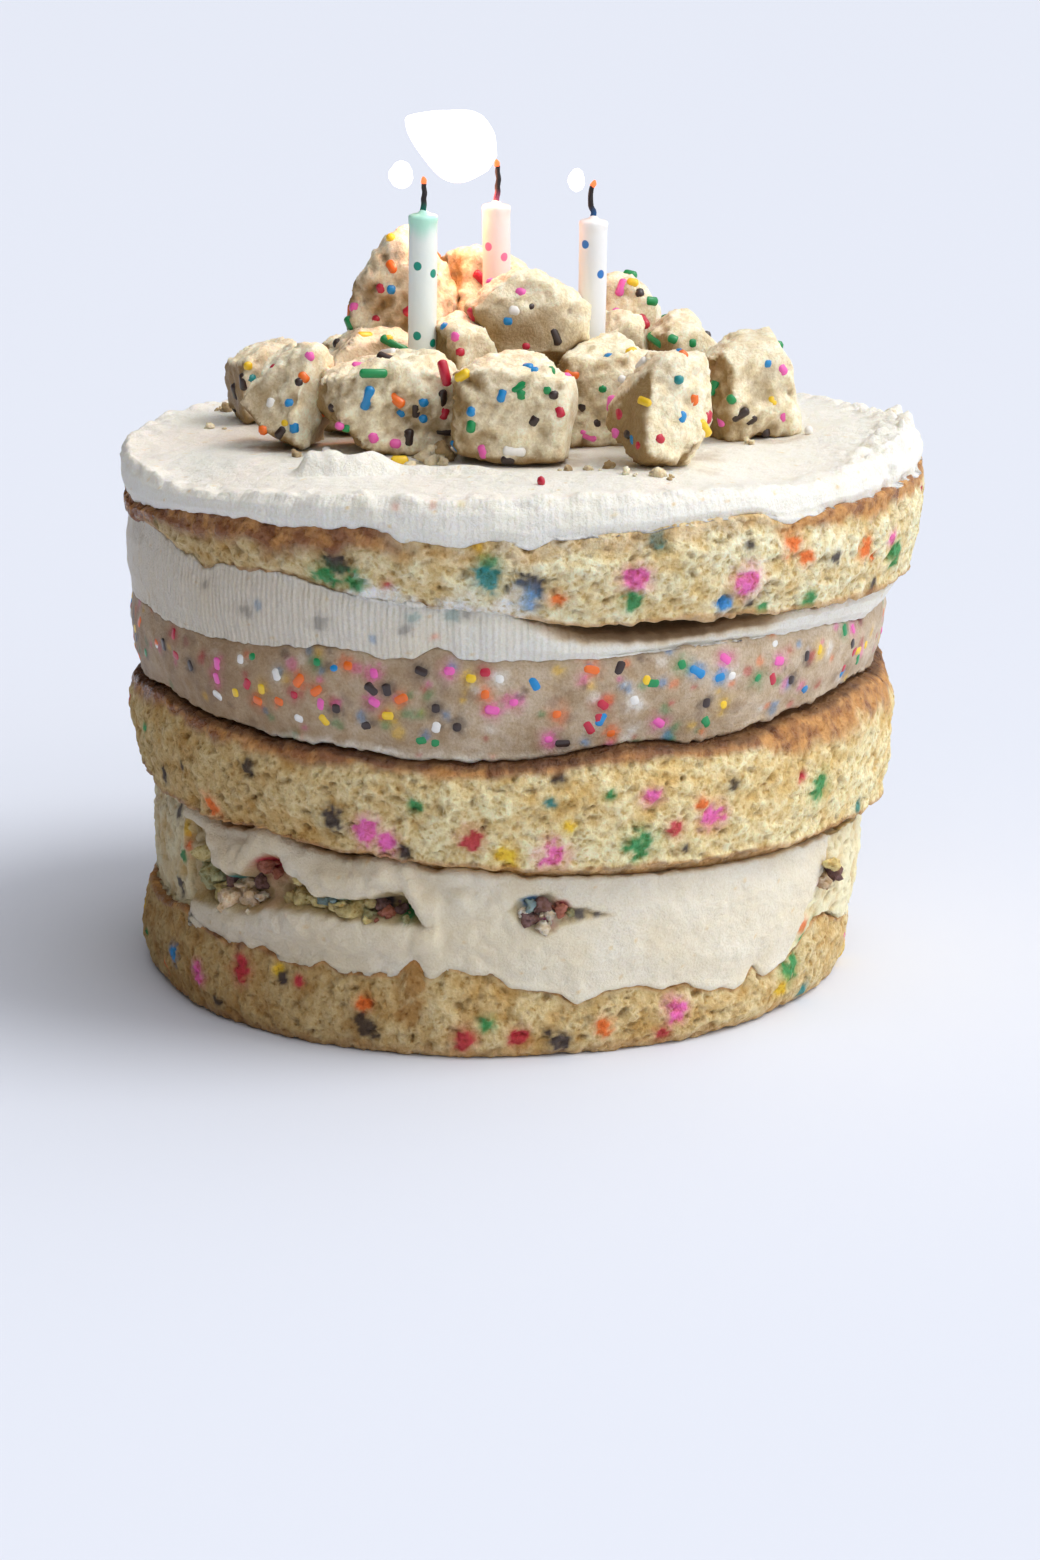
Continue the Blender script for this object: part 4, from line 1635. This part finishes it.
def build_flame(side):
    """A flame, blown over by a draught."""
    line, radii = FLAMES[side]
    steps = np.linspace(0, len(line) - 1, FLAME_RINGS)
    line = np.array(line)
    line = np.stack([np.interp(steps, np.arange(len(line)), line[:, k]) for k in range(3)], axis=-1)
    radii = np.interp(steps, np.arange(len(radii)), radii)
    for _ in range(2):
        radii[1:-1] = (radii[:-2] + 2 * radii[1:-1] + radii[2:]) / 4
        line[1:-1] = (line[:-2] + 2 * line[1:-1] + line[2:]) / 4
    points, faces = tube(line, radii, count=FLAME_RINGS)
    middle = line.mean(axis=0)
    points[:, 1] = (points[:, 1] - middle[1]) * 0.55 + middle[1]
    points += 0.25 * layered(points, 4.0, 2, 601)[:, None]
    add_piece("flame_" + side, points, faces, FLAME)


# ---- Stage, light and camera


FLOOR_HALF = 6.0  # metres


def build_stage():
    """A plain pale floor, and a camera in front."""
    corners = [(x * FLOOR_HALF, y * FLOOR_HALF, 0) for x, y in ((-1, -1), (1, -1), (1, 1), (-1, 1))]
    floor_mesh = bpy.data.meshes.new("floor")
    floor_mesh.from_pydata(corners, [], [(0, 1, 2, 3)])
    pale = Nodes("floor", 0.8, Base_Color=(0.74, 0.78, 0.88, 1.0))
    floor_mesh.materials.append(pale.material)
    add_object("floor", floor_mesh)

    data = bpy.data.cameras.new("camera")
    data.lens = 92.5
    data.sensor_width = 36.0
    camera = add_object("camera", data)
    camera.location = Vector(EYE) * MM
    camera.rotation_euler = (math.radians(90 - EYE_DOWN), 0, 0)
    bpy.context.scene.camera = camera
    bpy.context.scene.view_settings.view_transform = "Standard"


SKY_BRIGHT = (0.65, -0.17, 0.74)  # towards the bright side of the sky
SUN_WAY = (-0.56, 0.08, -0.82)  # the way the window's light falls


def build_light():
    """Soft daylight from a broad high window at the right, dim and warm at the left."""
    world = bpy.data.worlds.new("daylight")
    world.use_nodes = True
    bpy.context.scene.world = world
    nodes, link = world.node_tree.nodes, world.node_tree.links.new
    place = nodes.new("ShaderNodeTexCoord")
    facing = nodes.new("ShaderNodeVectorMath")
    facing.operation = "DOT_PRODUCT"
    facing.inputs[1].default_value = Vector(SKY_BRIGHT).normalized()
    link(place.outputs["Generated"], facing.inputs[0])
    share = nodes.new("ShaderNodeMapRange")
    share.interpolation_type = "SMOOTHSTEP"
    share.inputs["From Min"].default_value = -0.05
    share.inputs["From Max"].default_value = 1.0
    link(facing.outputs["Value"], share.inputs["Value"])
    colour = nodes.new("ShaderNodeMix")
    colour.data_type = "RGBA"
    colour.inputs[6].default_value = (0.03, 0.022, 0.016, 1.0)
    colour.inputs[7].default_value = (1.34, 1.34, 1.36, 1.0)
    link(share.outputs[0], colour.inputs["Factor"])
    link(colour.outputs[2], nodes["Background"].inputs["Color"])
    nodes["Background"].inputs["Strength"].default_value = 1.0

    sun = bpy.data.lights.new("window", "SUN")
    sun.energy = 1.35
    sun.angle = math.radians(28)
    sun.color = (1.0, 0.99, 0.97)
    add_object("window", sun).rotation_euler = Vector(SUN_WAY).to_track_quat("-Z", "Y").to_euler()

    glow = bpy.data.lights.new("candle_glow", "POINT")
    glow.energy = 0.05
    glow.shadow_soft_size = 0.006
    glow.color = (1.0, 0.34, 0.15)
    add_object("candle_glow", glow).location = Vector((-9, 9, 158)) * MM


SPONGE = sponge_material()
BUTTERCREAM = cream_material()
COOKIE_DOUGH = dough_material()
SUGAR = sprinkle_material()
WICK = wick_material()
EMBER = glowing_material("ember", (1.0, 0.16, 0.05), 1.2)
FLAME = glowing_material("flame", (1.0, 0.93, 0.80), 2.4)

left = arc(azimuths, -90, -12, 14)
right = arc(azimuths, 40, 90, 10)
crusted = np.maximum(0.35, np.max((left, right, round_back), axis=0))
build_sponge(
    "sponge_top", 44, TOP_STAINS, ((3.4 + 1.6 * left, crusted), (1.0, 0.6)), 1,
    smears=((-23, 4, 91.6, 3.0),),
)
build_sponge(
    "sponge_middle", 48, MIDDLE_STAINS, ((2.2 + 5.0 * right + 1.2 * left, 0.95), (0.9, 0.7)), 2,
    tone=(0.99, 0.94, 0.83), seam_shade=0.75, above=-0.9 - 0.5 * right, shoulder=1.6 + 2.8 * right,
)
build_sponge(
    "sponge_bottom", 34, BOTTOM_STAINS, ((1.0, 0.7), (2.4, 0.4)), 3,
    tone=(0.78, 0.68, 0.54), foot=1.6,
)
build_hollow_crumbs(build_filling_lower())
build_filling_upper()
topping = build_topping()
build_dough_sprinkles(build_dough_layer())
chunks = [build_chunk(name, seed) for seed, name in enumerate(CHUNKS)]
build_chunk_sprinkles(chunks)
build_on_topping(topping)
for side in CANDLES:
    build_candle(side)
    build_wick(side)
    build_flame(side)
build_light()
build_stage()
